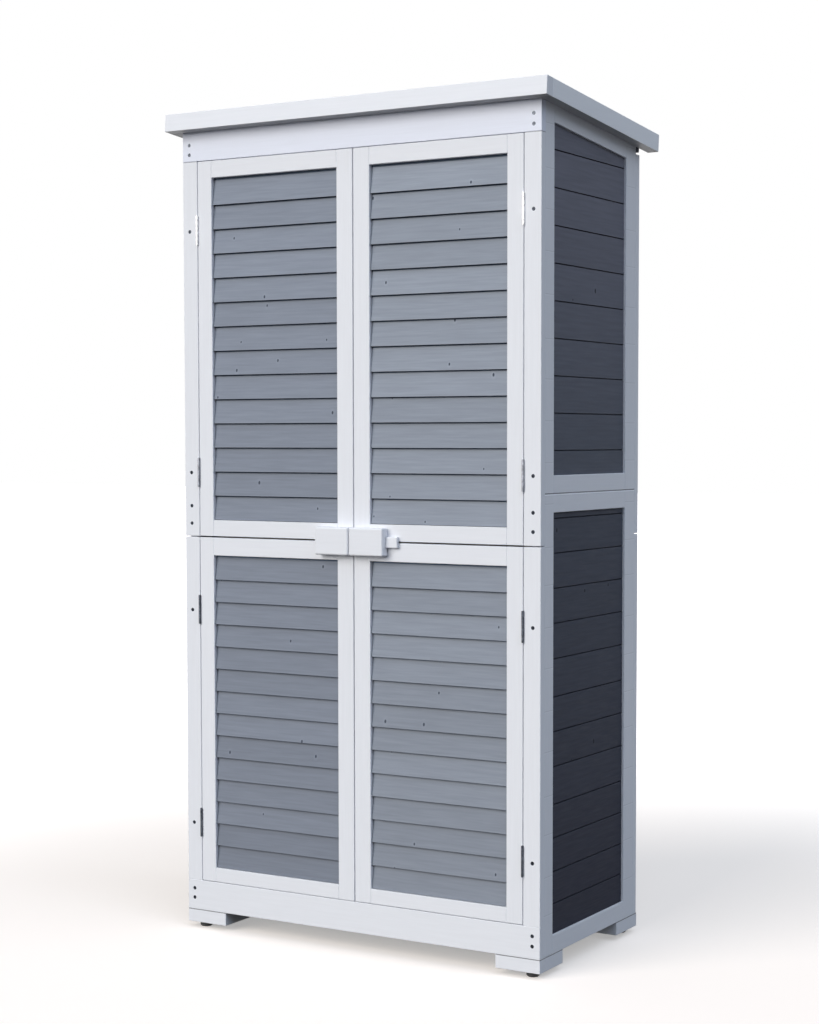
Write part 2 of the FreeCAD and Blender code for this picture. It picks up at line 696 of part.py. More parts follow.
def door(level, name, sign):
    label = "%s_%s" % (level, name)
    low, high = {"upper": ("split_up", "head_height - door_end_gap"),
                 "lower": ("kick_top + door_end_gap", "split_down")}[level]
    opening_low = "%s + %s_door_bottom_rail" % (low, level)
    opening_high = "%s - %s_door_top_rail" % (high, level)
    thick = ("front", "front + door_thickness")
    middle = "front + door_thickness / 2"
    # Slats: each leans back by its own thickness over one pitch, and laps behind the next.
    pitch = "((%s) - (%s) - slat_foot - %s_slat_head) / slat_count" % (
        opening_high, opening_low, level)
    lean = "atan((slat_thickness + slat_play) / (%s))" % pitch
    slats = []
    for i in range(sizes["slat_count"]):
        x = across(sign, "opening_inner - slat_housing", "opening_outer + slat_housing")
        slat = box("slat_%s_%d" % (label, i), x, ("0", "slat_thickness"),
                   ("0", "%s + slat_overlap" % pitch))
        slat.Placement.Rotation = FreeCAD.Rotation(FreeCAD.Vector(-1, 0, 0), 6)
        slat.setExpression("Placement.Rotation.Angle", formula(lean))
        set_place(slat, x[0], "front + slat_recess",
                  "%s + slat_foot + %d * %s" % (opening_low, i, pitch))
        slats.append(slat)
    node("door_slats_" + label, slats)
    slat_tool = nodes[-1]
    # Frame: two stiles, and two rails with stub tenons into them.
    width = across(sign, "opening_inner", "opening_outer")
    tenon_x = across(sign, "opening_inner - tenon_length", "opening_outer + tenon_length")
    rails, tenons = [], []
    for end, span in (("bottom", (low, opening_low)), ("top", (opening_high, high))):
        tenon = box("%s_tenon_%s" % (end, label), tenon_x,
                    (middle + " - tenon_thickness / 2", middle + " + tenon_thickness / 2"),
                    (span[0] + " + tenon_shoulder", span[1] + " - tenon_shoulder"))
        bar = stick("%s_rail_%s" % (end, label), width, thick, span)
        rails.append(joined("%s_tenoned_%s" % (end, label), "Fuse", bar, tenon))
        tenons.append(tenon)
    screws = screw_set("door_screws_" + label, leaf_screw_bore, leaf_screw_slotted,
                       leaf_screw_spots(level, name, sign, -1))
    latch = screw_set("latch_screws_" + label, wood_screw_bore, wood_screw_slotted,
                      latch_screw_spots(level, name, sign))
    leaf_holes, latch_holes = screws["tool_" + name], latch["tool_" + name]
    hinge_side = stick("hinge_stile_" + label, across(sign, "opening_outer", "door_outer"),
                       thick, (low, high))
    meeting_side = stick("meeting_stile_" + label, across(sign, "door_inner", "opening_inner"),
                         thick, (low, high))
    sticks = [cut(hinge_side, tenons[0], tenons[1], leaf_holes, slat_tool),
              cut(meeting_side, tenons[0], tenons[1], latch_holes, slat_tool),
              cut(rails[0], latch_holes), cut(rails[1], latch_holes, slat_tool)]
    node("door_frame_" + label, sticks)
    node("door_screws_" + label, screws["shown"] + latch["shown"])
    hinge_x = "%d * (hinge_x)" % sign
    node("door_hinge_leaves_" + label,
         [copy_of(moving_leaf[name], "moving_leaf_" + label, (0, 0, 1), hinge_x, "hinge_y", height)
          for height in hinge_heights[level]])


# The fixed halves of the eight hinges, their pins and their screws.
def hinges():
    outline = [("0", "-hinge_height / 2 - pin_head_height + 2 * hinge_height"),
               ("pin_head_radius", "-hinge_height / 2 - pin_head_height + 2 * hinge_height"),
               ("pin_head_radius", "-hinge_height / 2 + 2 * hinge_height"),
               ("pin_radius", "-hinge_height / 2 + 2 * hinge_height"),
               ("pin_radius", "hinge_height / 2 - knuckle_play + 2 * hinge_height"),
               ("pin_head_radius", "hinge_height / 2 - knuckle_play + 2 * hinge_height"),
               ("pin_head_radius",
                "hinge_height / 2 - knuckle_play + pin_head_height + 2 * hinge_height"),
               ("0", "hinge_height / 2 - knuckle_play + pin_head_height + 2 * hinge_height")]
    pin = turned("hinge_pin_master", outline)
    leaves, pins = [], []
    for name, sign in sides:
        hinge_x = "%d * (hinge_x)" % sign
        for height in hinge_heights["upper"] + hinge_heights["lower"]:
            leaves.append(copy_of(fixed_leaf[name], "fixed_leaf", (0, 0, 1),
                                  hinge_x, "hinge_y", height))
            pins.append(copy_of(pin, "hinge_pin", (0, 0, 1), hinge_x, "hinge_y",
                                height + " - 2 * hinge_height"))
    node("hinge_fixed_leaves", leaves)
    node("hinge_pins", pins)
    node("hinge_fixed_screws", fixed_leaf_screws["shown"])


# Latch: a block on each door of the upper pair, astride the split, grooved behind for the
# bar that slides across the pair.
def latch():
    bar_y = ("front - bar_play - bar_thickness", "front - bar_play")
    bar_low = "door_split_height - bar_height / 2"
    bar_high = "door_split_height + bar_height / 2"
    groove = box("latch_groove", ("-2 * block_width", "2 * block_width"),
                 ("front - bar_play - bar_thickness - groove_play", "front + 1"),
                 (bar_low + " - bar_play", bar_high + " + bar_play"))
    for name, sign in sides:
        block = edged(box("latch_block_%s_blank" % name,
                          across(sign, "door_inner", "door_inner + block_width"),
                          ("front - block_thickness", "front"),
                          ("door_split_height - block_height / 2",
                           "door_split_height + block_height / 2")), "Fillet", "block_rounding")
        holes = []
        for level in ("upper", "lower"):
            for side_name, direction, x, y, z in latch_screw_spots(level, name, sign):
                hole = doc.addObject("Part::Cylinder", "latch_hole")
                hole.setExpression("Radius", formula("screw_radius + knuckle_play"))
                hole.setExpression("Height", formula("screw_length - door_thickness + 3"))
                hole.Placement.Rotation = FreeCAD.Rotation(FreeCAD.Vector(0, 0, 1),
                                                           FreeCAD.Vector(0, -1, 0))
                set_place(hole, x, "front + 1", z)
                holes.append(hole)
        node("latch_block_" + name, [cut(block, groove, gathered("latch_holes", holes))])
    bar = edged(box("latch_bar_blank", ("door_inner + 0.5", "door_inner + block_width + bar_tail"),
                    bar_y, (bar_low, bar_high)), "Fillet", "bar_rounding")
    node("latch_bar", [bar])


def check_and_write():
    doc.recompute()
    bad = [part.Name for part in doc.Objects if {"Invalid", "Error"} & set(part.State)]
    if bad:
        raise ValueError("failed: " + ", ".join(bad))
    for group in nodes:
        shape = group.Shape
        if shape.isNull() or not shape.isValid() or not shape.Solids:
            raise ValueError("no sound shape: " + group.Label)
    os.makedirs("parts", exist_ok=True)
    for group in nodes:
        group.Shape.exportStep("parts/%s.step" % group.Label)


sides = (("left", -1), ("right", 1))
size_sheet()

wood_screw_bore, wood_screw_slotted = screw_masters(
    "wood_screw", "screw_head_radius", "screw_head_height", "screw_radius",
    "screw_length", "screw_point", "screw_slot_depth")
leaf_screw_bore, leaf_screw_slotted = screw_masters(
    "leaf_screw", "leaf_screw_head_radius", "leaf_thickness", "leaf_screw_radius",
    "leaf_screw_length", "leaf_screw_point", "leaf_screw_slot_depth")

front_screws = screw_set("front_screws", wood_screw_bore, wood_screw_slotted,
                         [(name, (0, 1, 0), "%d * (screw_x)" % sign, "front + screw_sink", height)
                          for name, sign in sides for height in front_screw_heights])
back_screws = screw_set("back_screws", wood_screw_bore, wood_screw_slotted,
                        [(name, (0, -1, 0), "%d * (screw_x)" % sign, "rear - screw_sink", height)
                         for name, sign in sides for height in back_screw_heights])
fixed_leaf_screws = screw_set("fixed_leaf_screws", leaf_screw_bore, leaf_screw_slotted,
                              [spot for name, sign in sides for level in ("upper", "lower")
                               for spot in leaf_screw_spots(level, name, sign, 1)])

fixed_right = leaf_master("fixed_leaf_right", 1, (0, 2, 4), leaf_screw_bore)
moving_right = leaf_master("moving_leaf_right", -1, (1, 3), leaf_screw_bore)
fixed_leaf = {"right": fixed_right, "left": mirrored(fixed_right)}
moving_leaf = {"right": moving_right, "left": mirrored(moving_right)}

for side_name, side_sign in sides:
    for storey in ("upper", "lower"):
        side_panel(storey, side_name, side_sign)
        door(storey, side_name, side_sign)
for storey in ("upper", "lower"):
    back_panel(storey)
front_boards()
feet()
inside()
roof()
hinges()
latch()
node("front_screws", front_screws["shown"])
node("back_screws", back_screws["shown"])
check_and_write()
print("nodes", len(nodes), "solids", sum(len(group.Shape.Solids) for group in nodes))
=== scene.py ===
import bpy
import json
import math
import numpy as np
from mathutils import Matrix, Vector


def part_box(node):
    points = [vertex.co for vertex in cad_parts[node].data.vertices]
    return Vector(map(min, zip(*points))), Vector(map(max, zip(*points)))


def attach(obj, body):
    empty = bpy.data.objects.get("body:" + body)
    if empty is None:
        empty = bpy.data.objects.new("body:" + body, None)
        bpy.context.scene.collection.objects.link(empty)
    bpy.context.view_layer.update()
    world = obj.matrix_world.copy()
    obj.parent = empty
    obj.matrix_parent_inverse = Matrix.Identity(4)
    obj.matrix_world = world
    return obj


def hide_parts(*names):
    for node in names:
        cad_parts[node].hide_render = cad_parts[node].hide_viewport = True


# A tall garden cabinet of painted and stained fir, in metres, +Z up, with its doors towards -Y.
# Boards, slats and roof are laid again over their solids with rounded edges and their own grain;
# the painted frames, posts and hardware keep their solids and get their finish here.

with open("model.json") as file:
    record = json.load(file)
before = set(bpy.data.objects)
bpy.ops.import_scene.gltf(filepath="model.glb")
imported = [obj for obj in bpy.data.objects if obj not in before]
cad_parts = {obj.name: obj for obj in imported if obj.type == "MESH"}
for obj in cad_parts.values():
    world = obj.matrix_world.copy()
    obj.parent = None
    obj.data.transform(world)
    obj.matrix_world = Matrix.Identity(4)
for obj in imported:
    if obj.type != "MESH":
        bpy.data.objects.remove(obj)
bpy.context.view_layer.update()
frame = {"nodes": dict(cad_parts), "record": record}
bodyOf = {node: body for body, nodes in frame["record"]["behaviour"]["bodies"].items()
          for node in nodes}
levels = ("upper", "lower")
sides = {"left": -1, "right": 1}
mm = 0.001


def toLinear(hexColour):
    # sRGB to linear light: ((c + 0.055) / 1.055) ^ 2.4, or c / 12.92 near black
    c = np.array([int(hexColour[i:i + 2], 16) for i in (0, 2, 4)]) / 255
    linear = np.where(c <= 0.04045, c / 12.92, ((c + 0.055) / 1.055) ** 2.4)
    return (*map(float, linear), 1.0)


def addNode(tree, kind, inputs=None, **settings):
    # one shader node; an input is a value, a socket, or a node whose first live output is meant
    node = tree.nodes.new("ShaderNode" + kind)
    for key, value in settings.items():
        setattr(node, key, value)
    for key, value in (inputs or {}).items():
        live = [one for one in node.inputs if one.enabled and one.name == key]
        socket = live[0] if live else node.inputs[key]
        if isinstance(value, bpy.types.Node):
            value = next(one for one in value.outputs if one.enabled)
        if isinstance(value, bpy.types.NodeSocket):
            tree.links.new(value, socket)
        else:
            socket.default_value = value
    return node


def newMaterial(name):
    # an empty material and its node tree
    material = bpy.data.materials.new(name)
    material.use_nodes = True
    material.node_tree.nodes.clear()
    return material, material.node_tree


# The photograph's view: a long lens a little above the door split, right of the front.
view = {
    "place": (2.0928, -3.45606, 1.01988),
    "yaw": 0.53056,            # radians to the left of straight on
    "pitch": -0.05616,
    "roll": 0.00062,
    "focalPixels": 1960.12,
    "imageSize": (819, 1024),
    "axisPixel": (439.34, 548.77),   # where the lens axis meets the picture
    "sensor": 36.0,
}


def makeCamera():
    # lens = focal pixels * sensor / long side; shift = axis pixel off the middle / long side
    wide, high = view["imageSize"]
    lens = bpy.data.cameras.new("camera")
    lens.sensor_width = view["sensor"]
    lens.lens = view["focalPixels"] * view["sensor"] / high
    lens.shift_x = (wide / 2 - view["axisPixel"][0]) / high
    lens.shift_y = (view["axisPixel"][1] - high / 2) / high
    camera = bpy.data.objects.new("camera", lens)
    camera.location = view["place"]
    camera.rotation_euler = (math.pi / 2 + view["pitch"], view["roll"], view["yaw"])
    bpy.context.scene.collection.objects.link(camera)
    bpy.context.scene.camera = camera


# Studio light: a pale sky, a broad soft lamp low in front, a little to the left, and a weaker one
# high on the right.
light = {
    "skyColour": "E6F1FF",
    "skyStrength": 0.25,
    # a lamp: strength, colour, degrees across, degrees right of the front, degrees above the floor
    "lamps": {"key": (2.62, "FFFCF7", 46, -20, 23), "fill": (1.27, "DDEBFF", 60, 65, 50)},
    "floorBounce": "2C2C2C",   # what the floor gives back to the object
    "floorColour": "EDE2D9",   # what the camera sees of it
    "floorGlow": 0.37,         # added for the camera, so that the lit floor reads white
    "fade": (0.9, 3.2),        # metres from the middle: between them the floor turns plain white
    "floorSize": 60.0,
}


def seenRays(tree):
    # 1 for the camera's own rays and those off a gloss or through a clear piece, 0 for the light's
    path = addNode(tree, "LightPath")
    seen = addNode(tree, "Math", {0: path.outputs["Is Camera Ray"], 1: path.outputs["Is Glossy Ray"]},
                   operation="MAXIMUM")
    return addNode(tree, "Math", {0: seen, 1: path.outputs["Is Transmission Ray"]},
                   operation="MAXIMUM")


def makeSky():
    # plain colour for the light, plain white for what the eye and the gloss see
    world = bpy.data.worlds.new("studio")
    bpy.context.scene.world = world
    world.use_nodes = True
    tree = world.node_tree
    tree.nodes.clear()
    sky = addNode(tree, "Background", {"Color": toLinear(light["skyColour"]),
                                       "Strength": light["skyStrength"]})
    white = addNode(tree, "Background", {"Color": (1, 1, 1, 1), "Strength": 1.0})
    both = addNode(tree, "MixShader", {0: seenRays(tree), 1: sky, 2: white})
    addNode(tree, "OutputWorld", {"Surface": both})


def makeLamps():
    # each lamp is turned 90 - high degrees about x, then right degrees about z
    for name, (strength, colour, wide, right, high) in light["lamps"].items():
        lamp = bpy.data.lights.new(name, "SUN")
        lamp.energy = strength
        lamp.color = toLinear(colour)[:3]
        lamp.angle = math.radians(wide)
        sun = bpy.data.objects.new(name, lamp)
        sun.rotation_euler = (math.radians(90 - high), 0, math.radians(right))
        bpy.context.scene.collection.objects.link(sun)


def paperFloor(name):
    # Matt white backdrop paper. The camera sees its own colour of it and a glow, which grows to
    # plain white between two distances from the middle; the object sees a darker one.
    material, tree = newMaterial(name)
    seen = seenRays(tree)
    away = addNode(tree, "VectorMath", {0: addNode(tree, "TexCoord").outputs["Object"]},
                   operation="LENGTH")
    away = addNode(tree, "MapRange", {"Value": away, "From Min": light["fade"][0],
                                      "From Max": light["fade"][1],
                                      "To Min": light["floorGlow"], "To Max": 1.0},
                   interpolation_type="SMOOTHSTEP")
    glow = addNode(tree, "Math", {0: seen, 1: away}, operation="MULTIPLY")
    colour = addNode(tree, "Mix", {"Factor": seen, "A": toLinear(light["floorBounce"]),
                                   "B": toLinear(light["floorColour"])}, data_type="RGBA")
    paper = addNode(tree, "BsdfDiffuse", {"Color": colour})
    shine = addNode(tree, "Emission", {"Color": (1, 1, 1, 1), "Strength": glow})
    addNode(tree, "OutputMaterial", {"Surface": addNode(tree, "AddShader", {0: paper, 1: shine})})
    return material


def makeFloor():
    # one square round the origin
    half = light["floorSize"] / 2
    mesh = bpy.data.meshes.new("floor")
    mesh.from_pydata([(-half, -half, 0), (half, -half, 0), (half, half, 0), (-half, half, 0)],
                     [], [(0, 1, 2, 3)])
    mesh.materials.append(paperFloor("paper_floor"))
    floor = bpy.data.objects.new("floor", mesh)
    bpy.context.scene.collection.objects.link(floor)


bpy.context.scene.view_settings.view_transform = "Standard"
makeCamera()
makeSky()
makeLamps()
makeFloor()
print("camera and light: made")


# The surface of every stick of wood.
edges = {
    "ease": 0.8 * mm,                   # rounding of a sanded edge
    "cornerAngles": (0, 30, 60, 90),
    "endAngles": (15, 50, 90),
}


def layBars(bars, ease=None, shape=None):
    # Bars are (low corner, high corner, axis of the grain). A bar's profile is a rectangle with
    # quarter-circle corners: centre (half - ease), plus (ease - inset) (cos t, sin t). Near an
    # end the profile draws in by inset = ease (1 - sin a) at ease (1 - cos a) from that end.
    # Points are [bar, station, profile point, xyz]; shape(points) may bend them afterwards.
    ease = ease or edges["ease"]
    low = np.array([bar[0] for bar in bars], float)
    high = np.array([bar[1] for bar in bars], float)
    order = (np.array([bar[2] for bar in bars])[:, None] + np.arange(3)) % 3
    middle = np.take_along_axis((low + high) / 2, order, 1)[:, None, None, :]
    half = np.take_along_axis((high - low) / 2, order, 1)[:, None, None, :]
    a = np.radians(edges["endAngles"])
    steps = len(edges["cornerAngles"])
    t = np.radians(np.add.outer(np.arange(0, 360, 90), edges["cornerAngles"])).ravel()
    corner = np.repeat(np.radians(np.arange(45, 360, 90)), steps)
    inset = ease * (1 - np.sin(np.concatenate([a, a[::-1]])))[None, :, None]
    reach = ease * (1 - np.cos(a))
    run = np.concatenate([reach - half[:, 0, 0, :1], half[:, 0, 0, :1] - reach[::-1]], 1)

    local = np.empty((len(bars), len(a) * 2, len(t), 3))
    local[..., 0] = middle[..., 0] + run[:, :, None]
    for axis, turn in ((1, np.cos), (2, np.sin)):
        centre = np.sign(turn(corner)) * (half[..., axis] - ease)
        local[..., axis] = middle[..., axis] + centre + (ease - inset) * turn(t)
    rim = local[:, len(a), :, 1:]
    step = np.linalg.norm(np.roll(rim, -1, 1) - rim, axis=2)
    u = run + half[:, 0, 0, :1]
    v = np.concatenate([np.zeros((len(bars), 1)), np.cumsum(step, 1)], 1)
    ends = local[:, [0, -1], :, 1:] - middle[..., 1:]
    points = np.take_along_axis(local, np.argsort(order, 1)[:, None, None, :], 3)
    if shape:
        points = shape(points)

    grid = np.arange(points[..., 0].size).reshape(points.shape[:3])
    after = np.roll(grid, -1, 2)
    quads = np.stack([grid[:, :-1], after[:, :-1], after[:, 1:], grid[:, 1:]], -1)
    caps = np.stack([grid[:, 0, ::-1], grid[:, -1]], 1)
    ends[:, 0] = ends[:, 0, ::-1]
    count = quads.shape[:3]
    alongRun = np.stack([u[:, :-1], u[:, :-1], u[:, 1:], u[:, 1:]], -1)[:, :, None, :]
    roundRim = np.stack([v[:, :-1], v[:, 1:], v[:, 1:], v[:, :-1]], -1)[:, None, :, :]
    quadUv = np.stack([np.broadcast_to(alongRun, (*count, 4)),
                       np.broadcast_to(roundRim, (*count, 4))], -1)
    smooth = np.ones(count, bool)
    smooth[:, len(a) - 1, steps - 1::steps] = False
    return {"points": points, "quads": quads, "caps": caps, "quadUv": quadUv, "capUv": ends,
            "smooth": smooth}


def standFor(node, mesh, material):
    # the mesh takes the node's place: its body, its slot and a finish
    mesh.materials.append(material)
    mesh.update()
    piece = bpy.data.objects.new(mesh.name, mesh)
    bpy.context.scene.collection.objects.link(piece)
    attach(piece, bodyOf[node])
    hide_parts(node)


def addPiece(node, groups, material, seed):
    # Joins laid bars into one mesh that stands for the node. The "grain" map is metres along and
    # round each stick, with a draw of its own for its start; "tone" is one draw for each stick.
    draw = np.random.default_rng(seed)
    points, faces, uv, smooth, tone = [], [], [], [], []
    start = 0
    for group in groups:
        sticks = len(group["points"])
        offset = draw.uniform(0, grainRoom, (sticks, 2))
        shade = draw.uniform(0, 1, sticks)
        points.append(group["points"].reshape(-1, 3))
        faces += (group["quads"].reshape(-1, 4) + start).tolist()
        faces += (group["caps"].reshape(sticks * 2, -1) + start).tolist()
        uv.append((group["quadUv"] + offset[:, None, None, None, :]).reshape(-1, 2))
        uv.append((group["capUv"] + offset[:, None, None, :]).reshape(-1, 2))
        smooth.append(group["smooth"].ravel())
        smooth.append(np.zeros(sticks * 2, bool))
        tone.append(np.repeat(shade, group["points"][0, ..., 0].size))
        start += group["points"][..., 0].size
    mesh = bpy.data.meshes.new(node + "_wood")
    mesh.from_pydata(np.concatenate(points).tolist(), [], faces)
    mesh.uv_layers.new(name="grain").data.foreach_set("uv", np.concatenate(uv).ravel())
    mesh.attributes.new("tone", "FLOAT", "POINT").data.foreach_set("value", np.concatenate(tone))
    mesh.polygons.foreach_set("use_smooth", np.concatenate(smooth))
    standFor(node, mesh, material)


# where the draws of each piece's grain start, and the metres of grain that they choose from
grainSeeds = {"rims": 300, "deck": 310, "battens": 311, "sideBoards": 400, "backBoards": 500,
              "shelves": 600, "cleats": 610, "headRail": 611}
grainRoom = 40

noiseSpan = (0.3, 0.7)                 # nearly all values of a noise lie between these
facesDown = -0.7                       # z of a normal, under which a face looks down
# a knot in its own radii: whole within the first, gone at the second
knotReach = {"core": (0.75, 1.15), "halo": (1.0, 3.4), "bow": (0.6, 4.0)}
# detail and roughness of each noise
noiseDetail = {"fibre": (3.0, 0.55), "streak": (2.0, 0.5), "wander": (1.0, 0.5)}
gritRelief = 0.1 * mm                  # height of the grit on plastic and plated steel


def varied(tree, swings):
    # product of 1 + depth * s, with s from -1 to 1 over the span of each value
    shade = 1.0
    for value, (low, high), depth in swings:
        swing = addNode(tree, "MapRange", {"Value": value, "From Min": low, "From Max": high,
                                           "To Min": 1 - depth, "To Max": 1 + depth})
        shade = addNode(tree, "Math", {0: shade, 1: swing}, operation="MULTIPLY")
    return shade


def paintShadeUnder(tree, shade, share):
    # painted shade: the shade, times a share where the face looks down
    normal = addNode(tree, "SeparateXYZ", {"Vector": addNode(tree, "NewGeometry").outputs["Normal"]})
    down = addNode(tree, "Math", {0: normal.outputs["Z"], 1: facesDown},
                   operation="LESS_THAN")
    factor = addNode(tree, "Math", {0: down, 1: share - 1, 2: 1.0}, operation="MULTIPLY_ADD")
    return addNode(tree, "Math", {0: shade, 1: factor}, operation="MULTIPLY")


def firGrain(tree, place, look):
    # Fir in two parameters, metres along (x) and across (y) a stick. Knots: the nearest scattered
    # point, an oval, kept where its own draw is under a share; the lines bow round it. Fibre,
    # streak and wander: noises drawn out along the stick. Rings: sin(2 pi across / spacing +
    # wander).
    knotCell = addNode(tree, "VectorMath", {0: place, 1: (1000 / look["knotEveryMm"][0],
                                                          1000 / look["knotEveryMm"][1], 0)},
                       operation="MULTIPLY")
    knot = addNode(tree, "TexVoronoi", {"Vector": knotCell, "Scale": 1.0,
                                        "Randomness": look["knotScatter"]},
                   voronoi_dimensions="2D")
    draw = addNode(tree, "SeparateColor", {"Color": knot.outputs["Color"]})
    kept = addNode(tree, "Math", {0: draw.outputs["Red"], 1: look["knotShare"]},
                   operation="LESS_THAN")
    wide = addNode(tree, "MapRange", {"Value": draw.outputs["Green"], "To Min": look["knotSize"][0],
                                      "To Max": look["knotSize"][1]})
    near = addNode(tree, "Math", {0: knot.outputs["Distance"], 1: wide}, operation="DIVIDE")
    offset = addNode(tree, "VectorMath", {0: knotCell, 1: knot.outputs["Position"]},
                     operation="SUBTRACT")
    pull = addNode(tree, "MapRange", {"Value": near, "From Min": knotReach["bow"][0],
                                      "From Max": knotReach["bow"][1],
                                      "To Min": look["knotBow"], "To Max": 0.0},
                   interpolation_type="SMOOTHSTEP")
    pull = addNode(tree, "Math", {0: pull, 1: kept}, operation="MULTIPLY")
    bow = addNode(tree, "VectorMath", {0: offset, 1: (0, look["knotEveryMm"][1] / 1000, 0)},
                  operation="MULTIPLY")
    bow = addNode(tree, "VectorMath", {0: bow, "Scale": pull}, operation="SCALE")
    bowed = addNode(tree, "VectorMath", {0: place, 1: bow}, operation="SUBTRACT")

    noises = {}
    for name, (detail, roughness) in noiseDetail.items():
        drawn = addNode(tree, "VectorMath", {0: bowed, 1: (1000 / look[name + "RunMm"],
                                                           1000 / look[name + "Mm"], 0)},
                        operation="MULTIPLY")
        noises[name] = addNode(tree, "TexNoise", {"Vector": drawn, "Scale": 1.0, "Detail": detail,
                                                  "Roughness": roughness}, noise_dimensions="2D")
    across = addNode(tree, "SeparateXYZ", {"Vector": bowed})
    turns = addNode(tree, "Math", {0: across.outputs["Y"],
                                   1: 2 * math.pi * 1000 / look["ringMm"]}, operation="MULTIPLY")
    turns = addNode(tree, "Math", {0: noises["wander"], 1: look["ringWander"], 2: turns},
                    operation="MULTIPLY_ADD")
    ring = addNode(tree, "Math", {0: turns}, operation="SINE")
    grain = {"fibre": noises["fibre"], "streak": noises["streak"], "ring": ring}
    for name in ("core", "halo"):
        part = addNode(tree, "MapRange", {"Value": near, "From Min": knotReach[name][0],
                                          "From Max": knotReach[name][1],
                                          "To Min": 1.0, "To Max": 0.0},
                       interpolation_type="SMOOTHSTEP")
        grain[name] = addNode(tree, "Math", {0: part, 1: kept}, operation="MULTIPLY")
    return grain


def firSurface(material, tree, grain, look, colour):
    # the shader over a grain: roughness and a bump of drawn-up fibre, both from the fibre noise
    rough = addNode(tree, "MapRange", {"Value": grain["fibre"], "From Min": noiseSpan[0],
                                       "From Max": noiseSpan[1],
                                       "To Min": look["roughness"][0],
                                       "To Max": look["roughness"][1]})
    height = addNode(tree, "Math", {0: grain["ring"], 1: look["ringRelief"], 2: grain["fibre"]},
                     operation="MULTIPLY_ADD")
    height = addNode(tree, "Math", {0: grain["core"], 1: -look["knotRelief"], 2: height},
                     operation="MULTIPLY_ADD")
    bump = addNode(tree, "Bump", {"Height": height, "Strength": look["bump"],
                                  "Distance": look["reliefMm"] * mm})
    shader = addNode(tree, "BsdfPrincipled", {"Base Color": colour, "Roughness": rough,
                                              "Normal": bump, "IOR": look["ior"],
                                              "Specular IOR Level": look["gloss"]})
    addNode(tree, "OutputMaterial", {"Surface": shader})
    return material


def lapShadowLines(tree, shade, laps):
    # Painted shadow in the corners of a louvred field: dark lines over the last millimetres of each
    # pitch, under the next slat's edge; those under the top rail; and those beside the stiles. A line
    # is where 1 - fract((z - first) / pitch) is under width / pitch, but not on the last slat. Gives
    # the shade and the mask of the level lines, where the painted shadow is also bluer.
    spot = addNode(tree, "SeparateXYZ", {"Vector": addNode(tree, "TexCoord").outputs["Object"]})
    cell = addNode(tree, "Math", {0: spot.outputs["Z"], 1: laps["first"]}, operation="SUBTRACT")
    cell = addNode(tree, "Math", {0: cell, 1: 1 / laps["pitch"]}, operation="MULTIPLY")
    part = addNode(tree, "Math", {0: cell}, operation="FRACT")
    line = addNode(tree, "Math", {0: part, 1: 1 - laps["widthMm"] * mm / laps["pitch"]},
                   operation="GREATER_THAN")
    below = addNode(tree, "Math", {0: cell, 1: laps["count"] - 0.5}, operation="LESS_THAN")
    line = addNode(tree, "Math", {0: line, 1: below}, operation="MULTIPLY")
    head = addNode(tree, "Math", {0: spot.outputs["Z"], 1: laps["top"] - laps["headMm"] * mm},
                   operation="GREATER_THAN")
    line = addNode(tree, "Math", {0: line, 1: head}, operation="MAXIMUM")
    factor = addNode(tree, "Math", {0: line, 1: laps["share"] - 1, 2: 1.0},
                     operation="MULTIPLY_ADD")
    shade = addNode(tree, "Math", {0: shade, 1: factor}, operation="MULTIPLY")
    size = addNode(tree, "Math", {0: spot.outputs["X"]}, operation="ABSOLUTE")
    for edge in laps["sides"]:
        near = addNode(tree, "Math", {0: size, 1: edge, 2: laps["sideMm"] * mm},
                       operation="COMPARE")
        factor = addNode(tree, "Math", {0: near, 1: laps["sideShare"] - 1, 2: 1.0},
                         operation="MULTIPLY_ADD")
        shade = addNode(tree, "Math", {0: shade, 1: factor}, operation="MULTIPLY")
    return shade, line


def stainedFir(name, look):
    # Planed fir under a thin blue-grey water stain, or bare with the look for that: matt, the
    # grain and small dark knots show, and each board took the stain a little differently.
    material, tree = newMaterial(name)
    place = addNode(tree, "UVMap", uv_map="grain")
    grain = firGrain(tree, place, look)
    tone = addNode(tree, "Attribute", attribute_name="tone").outputs["Fac"]
    # darker towards the bottom: lowColour at the lower height, highColour at the upper
    height = addNode(tree, "SeparateXYZ", {"Vector": addNode(tree, "TexCoord").outputs["Object"]})
    level = addNode(tree, "MapRange", {"Value": height.outputs["Z"],
                                       "From Min": look["heights"][0],
                                       "From Max": look["heights"][1]})
    base = addNode(tree, "Mix", {"Factor": level, "A": toLinear(look["lowColour"]),
                                 "B": toLinear(look["highColour"])}, data_type="RGBA")
    shade = varied(tree, ((grain["streak"], noiseSpan, look["streakDepth"]),
                          (grain["fibre"], noiseSpan, look["fibreDepth"]),
                          (grain["ring"], (-1, 1), look["ringDepth"]),
                          (tone, (0, 1), look["boardDepth"])))
    halo = addNode(tree, "Math", {0: grain["halo"], 1: look["haloLift"], 2: 1.0},
                   operation="MULTIPLY_ADD")
    shade = addNode(tree, "Math", {0: shade, 1: halo}, operation="MULTIPLY")
    # painted shade on the faces that look down
    shade = paintShadeUnder(tree, shade, look["underside"])
    # painted shadow under each slat's edge, under the top rail and beside the stiles, in a bluer colour
    if "laps" in look:
        shade, line = lapShadowLines(tree, shade, look["laps"])
        base = addNode(tree, "Mix", {"Factor": line, "A": base,
                                     "B": toLinear(look["laps"]["colour"])}, data_type="RGBA")
    colour = addNode(tree, "VectorMath", {0: base, "Scale": shade}, operation="SCALE")
    colour = addNode(tree, "Mix", {"Factor": grain["core"], "A": colour,
                                   "B": toLinear(look["knotColour"])}, data_type="RGBA")
    return firSurface(material, tree, grain, look, colour)


